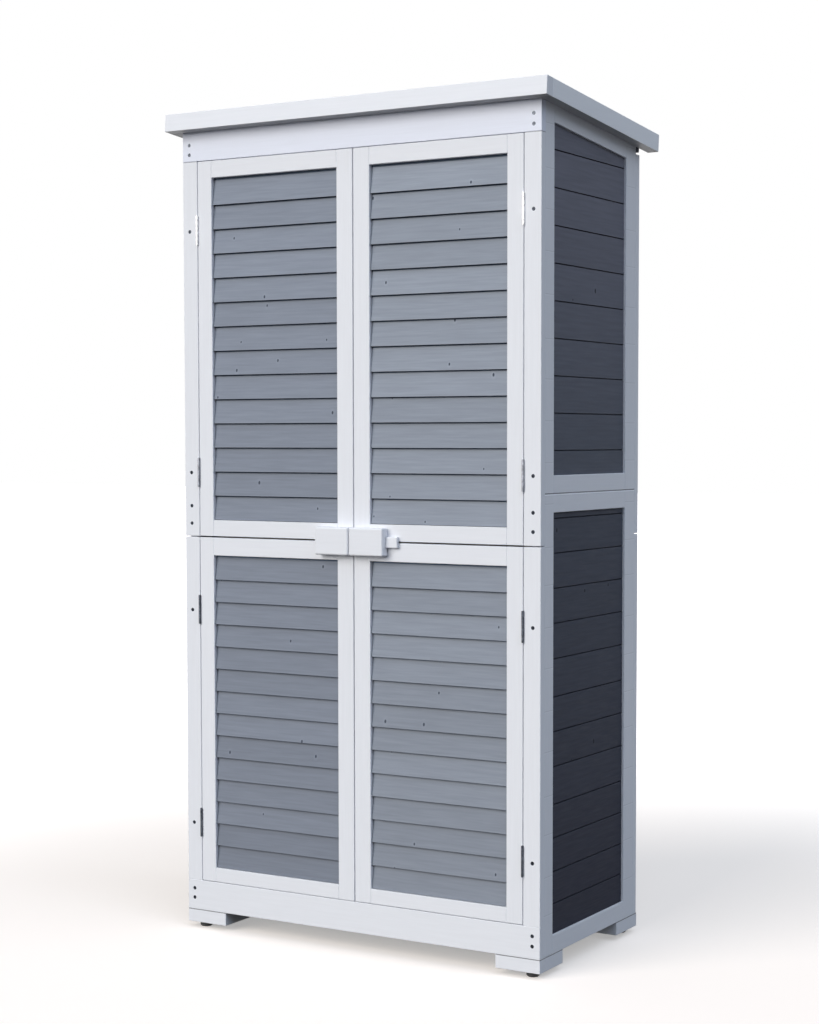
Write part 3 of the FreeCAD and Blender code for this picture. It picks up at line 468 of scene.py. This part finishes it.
grainScale = {
    "knotEveryMm": (95, 150),          # one possible knot in each such cell
    "knotScatter": 0.9,
    "knotShare": 0.55,
    "knotSize": (0.014, 0.026),        # radius in cells: about 1.5 to 2.5 mm along, 2 to 4 across
    "knotBow": 0.4,
    "fibreMm": 1.6,                    # real fibre is finer: drawn as coarse as the picture shows
    "fibreRunMm": 45,
    "streakMm": 7,
    "streakRunMm": 110,
    "wanderMm": 30,
    "wanderRunMm": 260,
    "ringMm": 7,
    "ringWander": 16.0,
    "ior": 1.45,
    "gloss": 0.08,                     # an open-pored stain hardly shines
}
frontStain = grainScale | {
    "heights": (0.1, 1.55),
    "underside": 0.12,                 # painted shade on faces that look down: the slats' lower edges and the boards' lap edges
    "streakDepth": 0.045, "fibreDepth": 0.03, "ringDepth": 0.012, "boardDepth": 0.05,
    "haloLift": 0.07, "knotColour": "4A505C", "roughness": (0.55, 0.75),
    "ringRelief": 0.15, "knotRelief": 0.6, "bump": 0.25, "reliefMm": 0.2,
}
sideStain = frontStain | {"streakDepth": 0.06, "knotColour": "23272F", "knotShare": 0.3,
                          "knotSize": (0.016, 0.034)}
# the side and back boards are darker, most of all in the lower panels
boardStain = {
    "upper": stainedFir("grey_stained_boards_upper", sideStain | {
        "lowColour": "5D616B", "highColour": "787984", "heights": (1.0, 1.58)}),
    "lower": stainedFir("grey_stained_boards_lower", sideStain | {
        "lowColour": "363843", "highColour": "4D515C", "heights": (0.15, 0.85)}),
}

bareLook = grainScale | {
    "underside": 1.0,
    "lowColour": "D9C29A", "highColour": "D9C29A", "heights": (0, 2),
    "streakDepth": 0.05, "fibreDepth": 0.05, "ringDepth": 0.09, "boardDepth": 0.05,
    "haloLift": -0.12, "knotColour": "7A4B2A", "roughness": (0.5, 0.7), "knotShare": 0.5,
    "ringRelief": 0.3, "knotRelief": 0.4, "bump": 0.3, "reliefMm": 0.2, "ringMm": 9,
}
bareFir = stainedFir("bare_planed_fir", bareLook)  # planed, unpainted: yellow, rings and knots plain

paint = grainScale | {
    "colour": "E4E6EC",
    "rimLitColour": "F4F6FA",             # lighter: painted light on the roof's side rims
    "fasciaShadeColour": "E6EAF7",          # a cooler white: the blue cast of the roof's shade on this board, painted in
    "fibreMm": 2.2,
    "fibreRunMm": 90,
    "knotShare": 0.12,
    "fibreDepth": 0.008,
    "streakDepth": 0.010,
    "roughness": (0.40, 0.52),
    "ringRelief": 0.12, "knotRelief": 0.2, "bump": 0.12, "reliefMm": 0.1,
    "ior": 1.5,
    "gloss": 0.25,
    "markEveryMm": 78,                 # finger joints of the side stiles, under the paint, drawn as painted shade over a painted highlight
    "markJitterMm": 6,
    "markMm": 1.6,
    "markDepth": 0.14,
    "markHighlight": 0.5,                  # how bright its painted highlight half is, against the painted shade of the dark half
    "markBlend": 0.2,                  # half of the step from light to dark, in half widths
    # painted lines where two pieces meet, dark ones painted shade in the joint, light ones a painted
    # highlight: mm above the joint, half width in mm, change of shade
    "splitShadeLines": ((0, 1.1, -0.7), (-2.1, 0.9, 0.4)),
    "footShadeLines": ((0, 1.2, -0.75),),
    "headShadeLines": ((0, 1.2, -0.6),),
    "roofUnderShade": 0.5,              # painted shade on the faces under the roof's rims
}


def paintedFir(name, along, across, rails=None, marked=False, joint=None, lines=(),
               underside=1.0, colour=None):
    # Fir under two brushed coats of white exterior paint: satin, the fibre just lifts the film.
    # along and across are the object axes of the grain; rails = (axis, middle, low, high) are the
    # stretches, low to high away from the middle, where the sticks run the other way. Marked
    # sticks, which have rails too, show their finger joints: a dark hair line of painted shade with
    # a light one of painted highlight under it, once in each cell of the height, at a place drawn for
    # that cell. Lines are level ones about a joint: dark ones painted shade, light ones painted
    # highlight.
    material, tree = newMaterial(name)
    spot = addNode(tree, "SeparateXYZ", {"Vector": addNode(tree, "TexCoord").outputs["Object"]})
    third = next(axis for axis in "XYZ" if axis not in (along, across))
    sideways = addNode(tree, "Math", {0: spot.outputs[across], 1: spot.outputs[third]},
                       operation="ADD")
    place = addNode(tree, "CombineXYZ", {"X": spot.outputs[along], "Y": sideways})
    if rails:
        axis, middle, low, high = rails
        turned = addNode(tree, "CombineXYZ", {"X": spot.outputs[across],
                                              "Y": spot.outputs[along]})
        size = addNode(tree, "Math", {0: spot.outputs[axis], 1: middle}, operation="SUBTRACT")
        size = addNode(tree, "Math", {0: size}, operation="ABSOLUTE")
        inside = addNode(tree, "Math", {0: size, 1: (low + high) / 2, 2: (high - low) / 2},
                         operation="COMPARE")
        place = addNode(tree, "Mix", {"Factor": inside, "A": place, "B": turned},
                        data_type="VECTOR")
    grain = firGrain(tree, place, paint)
    shade = varied(tree, ((grain["streak"], noiseSpan, paint["streakDepth"]),
                          (grain["fibre"], noiseSpan, paint["fibreDepth"])))
    if marked:
        cells = addNode(tree, "Math", {0: spot.outputs[along], 1: 1000 / paint["markEveryMm"]},
                        operation="MULTIPLY")
        # one draw for each cell, other on each side of the middle of the depth
        lane = addNode(tree, "Math", {0: spot.outputs[across], 1: 0.0}, operation="GREATER_THAN")
        cell = addNode(tree, "Math", {0: cells}, operation="FLOOR")
        draw = addNode(tree, "TexWhiteNoise", {"Vector": addNode(tree, "CombineXYZ",
                                                                 {"X": cell, "Y": lane})})
        place = addNode(tree, "Math", {0: cells}, operation="FRACT")
        spread = paint["markJitterMm"] / paint["markEveryMm"]
        centre = addNode(tree, "MapRange", {"Value": draw.outputs["Value"],
                                            "To Min": 0.5 - spread, "To Max": 0.5 + spread})
        above = addNode(tree, "Math", {0: place, 1: centre}, operation="SUBTRACT")
        above = addNode(tree, "Math", {0: above, 1: paint["markEveryMm"] / paint["markMm"]},
                        operation="MULTIPLY")
        onLine = addNode(tree, "Math", {0: above, 1: 0.0, 2: 1.0}, operation="COMPARE")
        # painted highlight below the middle of the line, painted shade above it
        swing = addNode(tree, "MapRange", {"Value": above, "From Min": -paint["markBlend"],
                                           "From Max": paint["markBlend"],
                                           "To Min": paint["markDepth"] * paint["markHighlight"],
                                           "To Max": -paint["markDepth"]})
        swing = addNode(tree, "Math", {0: swing, 1: onLine}, operation="MULTIPLY")
        stileOnly = addNode(tree, "Math", {0: 1.0, 1: inside}, operation="SUBTRACT")
        shade = addNode(tree, "Math", {0: swing, 1: stileOnly, 2: shade},
                        operation="MULTIPLY_ADD")
    # painted shade in the joints, and a painted highlight under the side frames' split
    for above, half, change in lines:
        line = addNode(tree, "Math", {0: spot.outputs["Z"], 1: joint + above * mm, 2: half * mm},
                       operation="COMPARE")
        shade = addNode(tree, "Math", {0: line, 1: change, 2: shade}, operation="MULTIPLY_ADD")
    # painted shade on the faces that look down, such as under the roof's rims
    shade = paintShadeUnder(tree, shade, underside)
    coat = toLinear(colour or paint["colour"])[:3]
    coat = addNode(tree, "VectorMath", {0: coat, "Scale": shade}, operation="SCALE")
    return firSurface(material, tree, grain, paint, coat)


# painted reflection: colours at three heights; between them the plate changes evenly. Tarnish
# spots of that size scale it from the first share to the second, where their noise runs over the span.
hingeSheenAndTarnish = {"heights": (0.72, 0.94, 1.40), "colours": ("52565F", "8A8D96", "FFFFFF"),
                "spotMm": 6, "spots": (0.55, 1.15), "spotSpan": (0.35, 0.65)}
screwSheenAndTarnish = {"heights": (1.30, 1.48, 1.60), "colours": ("30333A", "4A4E56", "5A5E66"),
                "spotMm": 4, "spots": (0.6, 1.3), "spotSpan": (0.35, 0.65)}


def moulded(name, colour, roughness, metallic, grit, bump):
    # a plain solid finish with a fine grit: roughness and bump from one noise of that grit in mm;
    # the colour is one, or a painted reflection with a colour for each of three heights, and tarnish
    # spots
    material, tree = newMaterial(name)
    place = addNode(tree, "TexCoord").outputs["Object"]
    noise = addNode(tree, "TexNoise", {"Vector": place, "Scale": 1000 / grit, "Detail": 2.0})
    rough = addNode(tree, "MapRange", {"Value": noise, "From Min": noiseSpan[0],
                                       "From Max": noiseSpan[1],
                                       "To Min": roughness[0], "To Max": roughness[1]})
    relief = addNode(tree, "Bump", {"Height": noise, "Strength": bump, "Distance": gritRelief})
    if isinstance(colour, dict):
        height = addNode(tree, "SeparateXYZ", {"Vector": place}).outputs["Z"]
        low, middle, high = colour["heights"]
        first, second, third = map(toLinear, colour["colours"])
        lower = addNode(tree, "MapRange", {"Value": height, "From Min": low, "From Max": middle})
        upper = addNode(tree, "MapRange", {"Value": height, "From Min": middle, "From Max": high})
        base = addNode(tree, "Mix", {"Factor": lower, "A": first, "B": second}, data_type="RGBA")
        base = addNode(tree, "Mix", {"Factor": upper, "A": base, "B": third}, data_type="RGBA")
        spot = addNode(tree, "TexNoise", {"Vector": place, "Scale": 1000 / colour["spotMm"]})
        spot = addNode(tree, "MapRange", {"Value": spot, "From Min": colour["spotSpan"][0],
                                          "From Max": colour["spotSpan"][1],
                                          "To Min": colour["spots"][0],
                                          "To Max": colour["spots"][1]})
        base = addNode(tree, "VectorMath", {0: base, "Scale": spot}, operation="SCALE")
    else:
        base = toLinear(colour)
    shader = addNode(tree, "BsdfPrincipled", {"Base Color": base, "Roughness": rough,
                                              "Metallic": metallic, "Normal": relief})
    addNode(tree, "OutputMaterial", {"Surface": shader})
    return material


# polypropylene glides: moulded, black, slightly matt
blackPlastic = moulded("moulded_black_plastic", "1B1C1F", roughness=(0.4, 0.5), metallic=0.0,
                       grit=1.2, bump=0.1)
# screws with a dark dulled zinc plate: grey metal with a soft shine, lighter towards the top as painted
# reflection
zincScrews = moulded("zinc_plated_screws", screwSheenAndTarnish, roughness=(0.35, 0.55), metallic=1.0,
                     grit=0.8, bump=0.1)
# plated steel hinge leaves and pins with tarnish spots; painted reflection makes them bright under the
# roof and dark towards the ground
hingeSteel = moulded("plated_steel_hinges", hingeSheenAndTarnish, roughness=(0.3, 0.45), metallic=1.0,
                     grit=1.5, bump=0.1)


felt = {
    "inset": 0.008, "thickness": 0.0015,
    "points": (90, 60),                # of the sheet's grid, across and down the slope
    "dip": 0.00015,                    # half of how far it sinks over the deck's gaps
    "ripple": 0.00015,
    "waves": ((23, 4), (-7, 31)),      # of the ripple, radians per metre across and down
    "granuleMm": 2.2,                  # real granules are 1 mm: drawn larger to show
    "granuleRelief": 0.6,
    "patchMm": 120, "patchDepth": 0.15,
    "darkColour": "4A4E55", "paleColour": "858A90", "roughness": 0.9,
}


def roofingFelt(name):
    # Bitumen felt with pressed mineral granules: dull dark grey-green, speckled, very rough.
    material, tree = newMaterial(name)
    place = addNode(tree, "TexCoord").outputs["Object"]
    chip = addNode(tree, "TexVoronoi", {"Vector": place, "Scale": 1000 / felt["granuleMm"]})
    patch = addNode(tree, "TexNoise", {"Vector": place, "Scale": 1000 / felt["patchMm"],
                                       "Detail": 3.0})
    draw = addNode(tree, "SeparateColor", {"Color": chip.outputs["Color"]})
    colour = addNode(tree, "Mix", {"Factor": draw.outputs["Red"],
                                   "A": toLinear(felt["darkColour"]),
                                   "B": toLinear(felt["paleColour"])}, data_type="RGBA")
    shade = varied(tree, ((patch, noiseSpan, felt["patchDepth"]),))
    colour = addNode(tree, "VectorMath", {0: colour, "Scale": shade}, operation="SCALE")
    relief = addNode(tree, "Bump", {"Height": chip, "Strength": felt["granuleRelief"],
                                    "Distance": felt["granuleMm"] / 2 * mm})
    shader = addNode(tree, "BsdfPrincipled", {"Base Color": colour,
                                              "Roughness": felt["roughness"], "Normal": relief})
    addNode(tree, "OutputMaterial", {"Surface": shader})
    return material


mineralFelt = roofingFelt("mineral_roofing_felt")
print("finishes: made")


# Door slats: each leans its head back behind the lower edge of the slat above.
slats = {
    "count": 14,
    "thickness": 0.005,
    "play": 0.0012,
    "overlap": 0.007,
    "ease": 0.0006,                    # rounding of the edges
    "recess": 0.0035,                  # front of the frame to the slat's lower edge
    "endHousing": 0.005,               # how far an end goes into the stile
    "opening": (0.038, 0.342),
    "pitch": {"upper": 0.04929, "lower": 0.0460},
    "showsAbove": {"upper": 0.0057, "lower": 0.004},   # of the top slat, beyond one pitch
    # the left doors' slats are darker than the right doors'
    "stain": {"right": {"lowColour": "878D98", "highColour": "949BA7"},
              "left": {"lowColour": "7D838F", "highColour": "8B929F"}},
    # painted shadow under the slats' edges: the lines' width and share of the shade, and the line under
    # the rail
    "laps": {"upper": {"widthMm": 2.4, "share": 0.22, "headMm": 4.5},
             "lower": {"widthMm": 1.6, "share": 0.45, "headMm": 3.5}},
    # painted shadow beside the stiles, and the bluer colour of every painted shadow line
    "lapShadowEdges": {"sideMm": 1.8, "sideShare": 0.7, "colour": "98ACC7"},
}
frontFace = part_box("fascia_board")[0].y


def makeSlats():
    # slat k: (x, front + recess + y cos f + z sin f, first + k pitch - y sin f + z cos f),
    # with f = atan((thickness + play) / pitch)
    for level in levels:
        pitch = slats["pitch"][level]
        lean = math.atan((slats["thickness"] + slats["play"]) / pitch)
        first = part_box(f"door_slats_{level}_left")[0].z + slats["thickness"] * math.sin(lean)
        rise = first + pitch * np.arange(slats["count"])[:, None, None]
        laps = slats["laps"][level] | slats["lapShadowEdges"] | {
            "first": first, "pitch": pitch, "count": slats["count"], "sides": slats["opening"],
            "top": first + pitch * slats["count"] + slats["showsAbove"][level]}

        def leaned(points):
            x, y, z = np.moveaxis(points, -1, 0)
            back = frontFace + slats["recess"] + y * math.cos(lean) + z * math.sin(lean)
            up = rise - y * math.sin(lean) + z * math.cos(lean)
            return np.stack([x, back, up], -1)

        for side, sign in sides.items():
            ends = sorted(sign * x for x in slats["opening"])
            bar = ((ends[0] - slats["endHousing"], 0, 0),
                   (ends[1] + slats["endHousing"], slats["thickness"],
                    pitch + slats["overlap"]), 0)
            node = f"door_slats_{level}_{side}"
            addPiece(node, [layBars([bar] * slats["count"], slats["ease"], leaned)],
                     stainedFir(f"grey_stained_slats_{level}_{side}",
                                frontStain | slats["stain"][side] | {"laps": laps}),
                     sum(map(ord, node)))


makeSlats()
print("slats: laid")


# The roof lies in a tilted plane: a point is (x, start + u cos t + w sin t, level - u sin t + w cos t).
roof = {
    "tilt": math.radians(5), "start": -0.250, "level": 1.6456,
    "rimWidth": 0.0245, "rimHeight": 0.0353, "rimEase": 0.001, "slope": 0.4988,
    "deckUnder": 0.0233, "deckBoards": 5, "deckGap": 0.001,
    # battens: half length, place down the slope, width, underside
    "battens": ((0.385, 0.082, 0.020, 0.0033), (0.413, 0.4437, 0.016, -0.0077)),
}


def onRoof(points):
    # the tilted plane's formula above, for points given as (x, u, w)
    x, u, w = np.moveaxis(points, -1, 0)
    cos, sin = math.cos(roof["tilt"]), math.sin(roof["tilt"])
    return np.stack([x, roof["start"] + u * cos + w * sin, roof["level"] - u * sin + w * cos], -1)


def makeRoof(rimPaints):
    # rims stand round a deck of boards, each painted for the axis of its grain; two battens lie
    # under the deck
    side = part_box("fascia_board")[1].x
    out = side + roof["rimWidth"]
    rims = {
        "roof_rim_front": ((-out, 0, 0), (out, roof["rimWidth"], roof["rimHeight"]), 0),
        "roof_rim_left": ((-out, roof["rimWidth"], 0), (-side, roof["slope"], roof["rimHeight"]), 1),
        "roof_rim_right": ((side, roof["rimWidth"], 0), (out, roof["slope"], roof["rimHeight"]), 1),
    }
    for seed, (node, bar) in enumerate(rims.items()):
        addPiece(node, [layBars([bar], roof["rimEase"], onRoof)], rimPaints[bar[2]],
                 grainSeeds["rims"] + seed)
    gap = roof["deckGap"]
    pitch = (roof["slope"] - roof["rimWidth"]) / roof["deckBoards"]
    starts = roof["rimWidth"] + pitch * np.arange(roof["deckBoards"])
    deck = [((-side, u, roof["deckUnder"]), (side, u + pitch - gap, roof["rimHeight"]), 0)
            for u in starts]
    addPiece("roof_deck", [layBars(deck, shape=onRoof)], bareFir, grainSeeds["deck"])
    battens = [((-half, u, under), (half, u + wide, roof["deckUnder"]), 0)
               for half, u, wide, under in roof["battens"]]
    # the battens take the darkest board stain as painted shade: they stand in deep shade under the roof
    addPiece("roof_battens", [layBars(battens, shape=onRoof)], boardStain["lower"],
             grainSeeds["battens"])


def makeFelt():
    # a thin closed sheet in roof coordinates; its face sinks a little over the board gaps:
    # w = thickness - dip (1 + cos(2 pi u / board)) - ripple (1 + sin wave 1 * sin wave 2),
    # with u from the rim
    across, down = felt["points"]
    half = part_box("roof_rim_front")[1].x - felt["inset"]
    under = roof["rimHeight"]
    x = np.linspace(-half, half, across)
    u = np.linspace(felt["inset"], roof["slope"] - felt["inset"], down)
    x, u = np.meshgrid(x, u, indexing="ij")
    board = (roof["slope"] - roof["rimWidth"]) / roof["deckBoards"]
    dip = felt["dip"] * (1 - np.cos(2 * np.pi * (u - roof["rimWidth"]) / board - np.pi))
    first, second = (np.sin(a * x + b * u) for a, b in felt["waves"])
    ripple = felt["ripple"] * (1 + first * second)
    top = under + felt["thickness"] - dip - ripple
    bottom = np.full_like(top, under)
    points = onRoof(np.stack([np.stack([x, u, top], -1), np.stack([x, u, bottom], -1)]))
    grid = np.arange(points[..., 0].size).reshape(2, across, down)
    upper, lower = grid
    faces = [np.stack([upper[:-1, :-1], upper[1:, :-1], upper[1:, 1:], upper[:-1, 1:]], -1),
             np.stack([lower[:-1, :-1], lower[:-1, 1:], lower[1:, 1:], lower[1:, :-1]], -1)]
    rim = np.concatenate([grid[:, :, 0], grid[:, -1, 1:], grid[:, -2::-1, -1],
                          grid[:, 0, -2:0:-1]], 1)
    after = np.roll(rim, -1, 1)
    faces.append(np.stack([rim[1], after[1], after[0], rim[0]], -1))
    mesh = bpy.data.meshes.new("roof_felt_sheet")
    mesh.from_pydata(points.reshape(-1, 3).tolist(), [],
                     np.concatenate([face.reshape(-1, 4) for face in faces]).tolist())
    standFor("roof_felt", mesh, mineralFelt)


# where the frames' rails lie, whose grain runs the other way: axis, middle, low, high
railSpans = {
    "door": ("X", 0, *slats["opening"]),
    "back": ("X", 0, 0.0225, 0.369),   # from the middle stile's edge to the outer stile's
    "side": ("Y", -0.0117, 0, 0.1578),   # middle of the frame, half the width between its stiles
}
paintLevel = paintedFir("white_painted_fir_level", "X", "Z")
# the fascia's paint carries a painted blue cast of the shade under the roof
paintFascia = paintedFir("white_painted_fir_fascia", "X", "Z", colour=paint["fasciaShadeColour"])
paintFoot = paintedFir("white_painted_fir_foot", "X", "Z", joint=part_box("foot_blocks")[1].z,
                       lines=paint["footShadeLines"])
paintRoof = paintedFir("white_painted_fir_roof", "X", "Z", underside=paint["roofUnderShade"])
# the side rims' lighter white is painted light
paintRim = paintedFir("white_painted_fir_rim", "Y", "Z", underside=paint["roofUnderShade"],
                      colour=paint["rimLitColour"])
paintUpright = paintedFir("white_painted_fir_upright", "Z", "X",
                          joint=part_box("front_post_upper_left")[1].z, lines=paint["headShadeLines"])
paintDoor = paintedFir("white_painted_fir_door", "Z", "X", rails=railSpans["door"])
paintBack = paintedFir("white_painted_fir_back", "Z", "X", rails=railSpans["back"])
paintSide = paintedFir("white_painted_fir_side", "Z", "Y", rails=railSpans["side"], marked=True,
                       joint=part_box("side_frame_upper_left")[0].z, lines=paint["splitShadeLines"])
makeRoof({0: paintRoof, 1: paintRim})
makeFelt()
print("roof: laid")


# Side boards: two halves of a shiplap, each board's inner half higher than its outer half.
shiplap = {
    "outerThickness": 0.0055,
    "ease": 0.0007,                    # rounding of the edges
    "gap": 0.001,                      # between a joint and each outer half
    "lapLow": 0.007, "lapHigh": 0.0066,
    # heights of the joints
    "upper": 0.997 + 0.0702 * np.arange(9),
    "lower": np.array([0.133, 0.195, 0.2595, 0.324, 0.3965, 0.4635, 0.530, 0.6025, 0.670, 0.7365,
                       0.803, 0.869]),
    "topRailHeight": 0.0546, "topRailHousing": 0.008,
    "backFirst": 0.078, "backPitch": 0.070, "backJoints": 9,
}


def underRoof(y):
    # height of the deck's underside at depth y: level + under / cos t - (y - start) tan t
    return (roof["level"] + roof["deckUnder"] / math.cos(roof["tilt"])
            - (y - roof["start"]) * math.tan(roof["tilt"]))


def headOfBoards(y):
    # where the upper boards end at depth y: in the groove of the sloped rail under the deck
    return (underRoof(y) - shiplap["topRailHeight"] / math.cos(roof["tilt"])
            + shiplap["topRailHousing"])


def makeSideBoards():
    # outer halves run from joint + gap to the next joint - gap; inner halves from joint + lapLow
    # to next + lapHigh; the top upper board is cut along the slope of the rail above it
    for level in levels:
        foot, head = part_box(f"side_boards_{level}_right")
        inner, outer = foot.x, head.x
        split = outer - shiplap["outerThickness"]
        front, rear = foot.y, head.y
        joints = shiplap[level]
        top = headOfBoards(front) if level == "upper" else head.z
        rows = []
        for k in range(len(joints) + 1):
            first, last = k == 0, k == len(joints)
            low = foot.z if first else joints[k - 1]
            high = top if last else joints[k]
            outerLow = low if first else low + shiplap["gap"]
            innerLow = low if first else low + shiplap["lapLow"]
            innerHigh = high if last else high + shiplap["lapHigh"]
            outerHigh = high if last else high - shiplap["gap"]
            rows.append(((split, outer, outerLow, outerHigh),
                         (inner, split, innerLow, innerHigh)))

        def sloped(points):
            # the last board's height is scaled so that its head follows the slope
            if level == "lower":
                return points
            z, low = points[-1, ..., 2], points[-1, ..., 2].min()
            share = (z - low) / (z.max() - low)
            points[-1, ..., 2] = low + share * (headOfBoards(points[-1, ..., 1]) - low)
            return points

        for side, sign in sides.items():
            groups = []
            for half in (0, 1):
                bars = [((min(sign * a, sign * b), front, low),
                         (max(sign * a, sign * b), rear, high), 1)
                        for a, b, low, high in (row[half] for row in rows)]
                groups.append(layBars(bars, shiplap["ease"], sloped))
            node = f"side_boards_{level}_{side}"
            addPiece(node, groups, boardStain[level], grainSeeds["sideBoards"] + len(node) + sign)


def makeBackBoards():
    # the same lap in the back frames: outer half behind, inner half in front, joints evenly apart
    for level in levels:
        node = f"back_boards_{level}"
        low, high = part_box(node)
        half = (low.y + high.y) / 2
        steps = shiplap["backJoints"]
        joints = low.z + shiplap["backFirst"] + shiplap["backPitch"] * np.arange(steps)
        rows = np.concatenate([[low.z], joints, [high.z]])
        outer = [((low.x, half, a + (shiplap["gap"] if k else 0)),
                  (high.x, high.y, b - (shiplap["gap"] if k < steps else 0)), 0)
                 for k, (a, b) in enumerate(zip(rows[:-1], rows[1:]))]
        inner = [((low.x, low.y, a + (shiplap["lapLow"] if k else 0)),
                  (high.x, half, b + (shiplap["lapHigh"] if k < steps else 0)), 0)
                 for k, (a, b) in enumerate(zip(rows[:-1], rows[1:]))]
        addPiece(node, [layBars(boards, shiplap["ease"]) for boards in (outer, inner)],
                 boardStain[level], grainSeeds["backBoards"] + len(node))


makeSideBoards()
makeBackBoards()
print("panels: laid")


# gap between boards, rounding of their edges, and a cleat's width and height
shelves = {"boards": 4, "gap": 0.006, "ease": 0.001, "cleat": (0.020, 0.020)}


def makeInside():
    # each shelf is boards side by side on two cleats; a rail behind the fascia stops the doors
    cleats = []
    near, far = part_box("shelf_cleats")
    for seed, node in enumerate(("floor_boards", "lower_shelf", "middle_shelf", "upper_shelf")):
        low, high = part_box(node)
        wide = (high.y - low.y + shelves["gap"]) / shelves["boards"]
        boards = [((low.x, low.y + k * wide, low.z),
                   (high.x, low.y + (k + 1) * wide - shelves["gap"], high.z), 0)
                  for k in range(shelves["boards"])]
        addPiece(node, [layBars(boards, shelves["ease"])], bareFir, grainSeeds["shelves"] + seed)
        for sign in sides.values():
            across = sorted((sign * far.x, sign * (far.x - shelves["cleat"][0])))
            cleats.append(((across[0], near.y, low.z - shelves["cleat"][1]),
                           (across[1], far.y, low.z), 1))
    addPiece("shelf_cleats", [layBars(cleats)], bareFir, grainSeeds["cleats"])
    addPiece("head_rail", [layBars([(*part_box("head_rail"), 0)])], bareFir, grainSeeds["headRail"])


makeInside()
print("inside: laid")


def fourOf(name):
    # the nodes of that name at each level and on each side
    return [f"{name}_{level}_{side}" for level in levels for side in sides]


def finish(material, *nodes):
    # a carried-over solid takes its finish on its object's own slot
    for node in nodes:
        piece = frame["nodes"][node]
        for slot in piece.material_slots:
            slot.link = "OBJECT"
            slot.material = material


finish(paintLevel, "kick_board", "latch_block_left", "latch_block_right", "latch_bar")
finish(paintFascia, "fascia_board")
finish(paintFoot, "foot_blocks")
finish(paintUpright, *fourOf("front_post"))
finish(paintDoor, *fourOf("door_frame"))
finish(paintBack, "back_frame_upper", "back_frame_lower")
finish(paintSide, *fourOf("side_frame"))
finish(hingeSteel, "hinge_fixed_leaves", "hinge_pins", *fourOf("door_hinge_leaves"))
finish(zincScrews, "front_screws", "back_screws", "hinge_fixed_screws", *fourOf("door_screws"))
finish(blackPlastic, "glides")
print("hardware: finished")
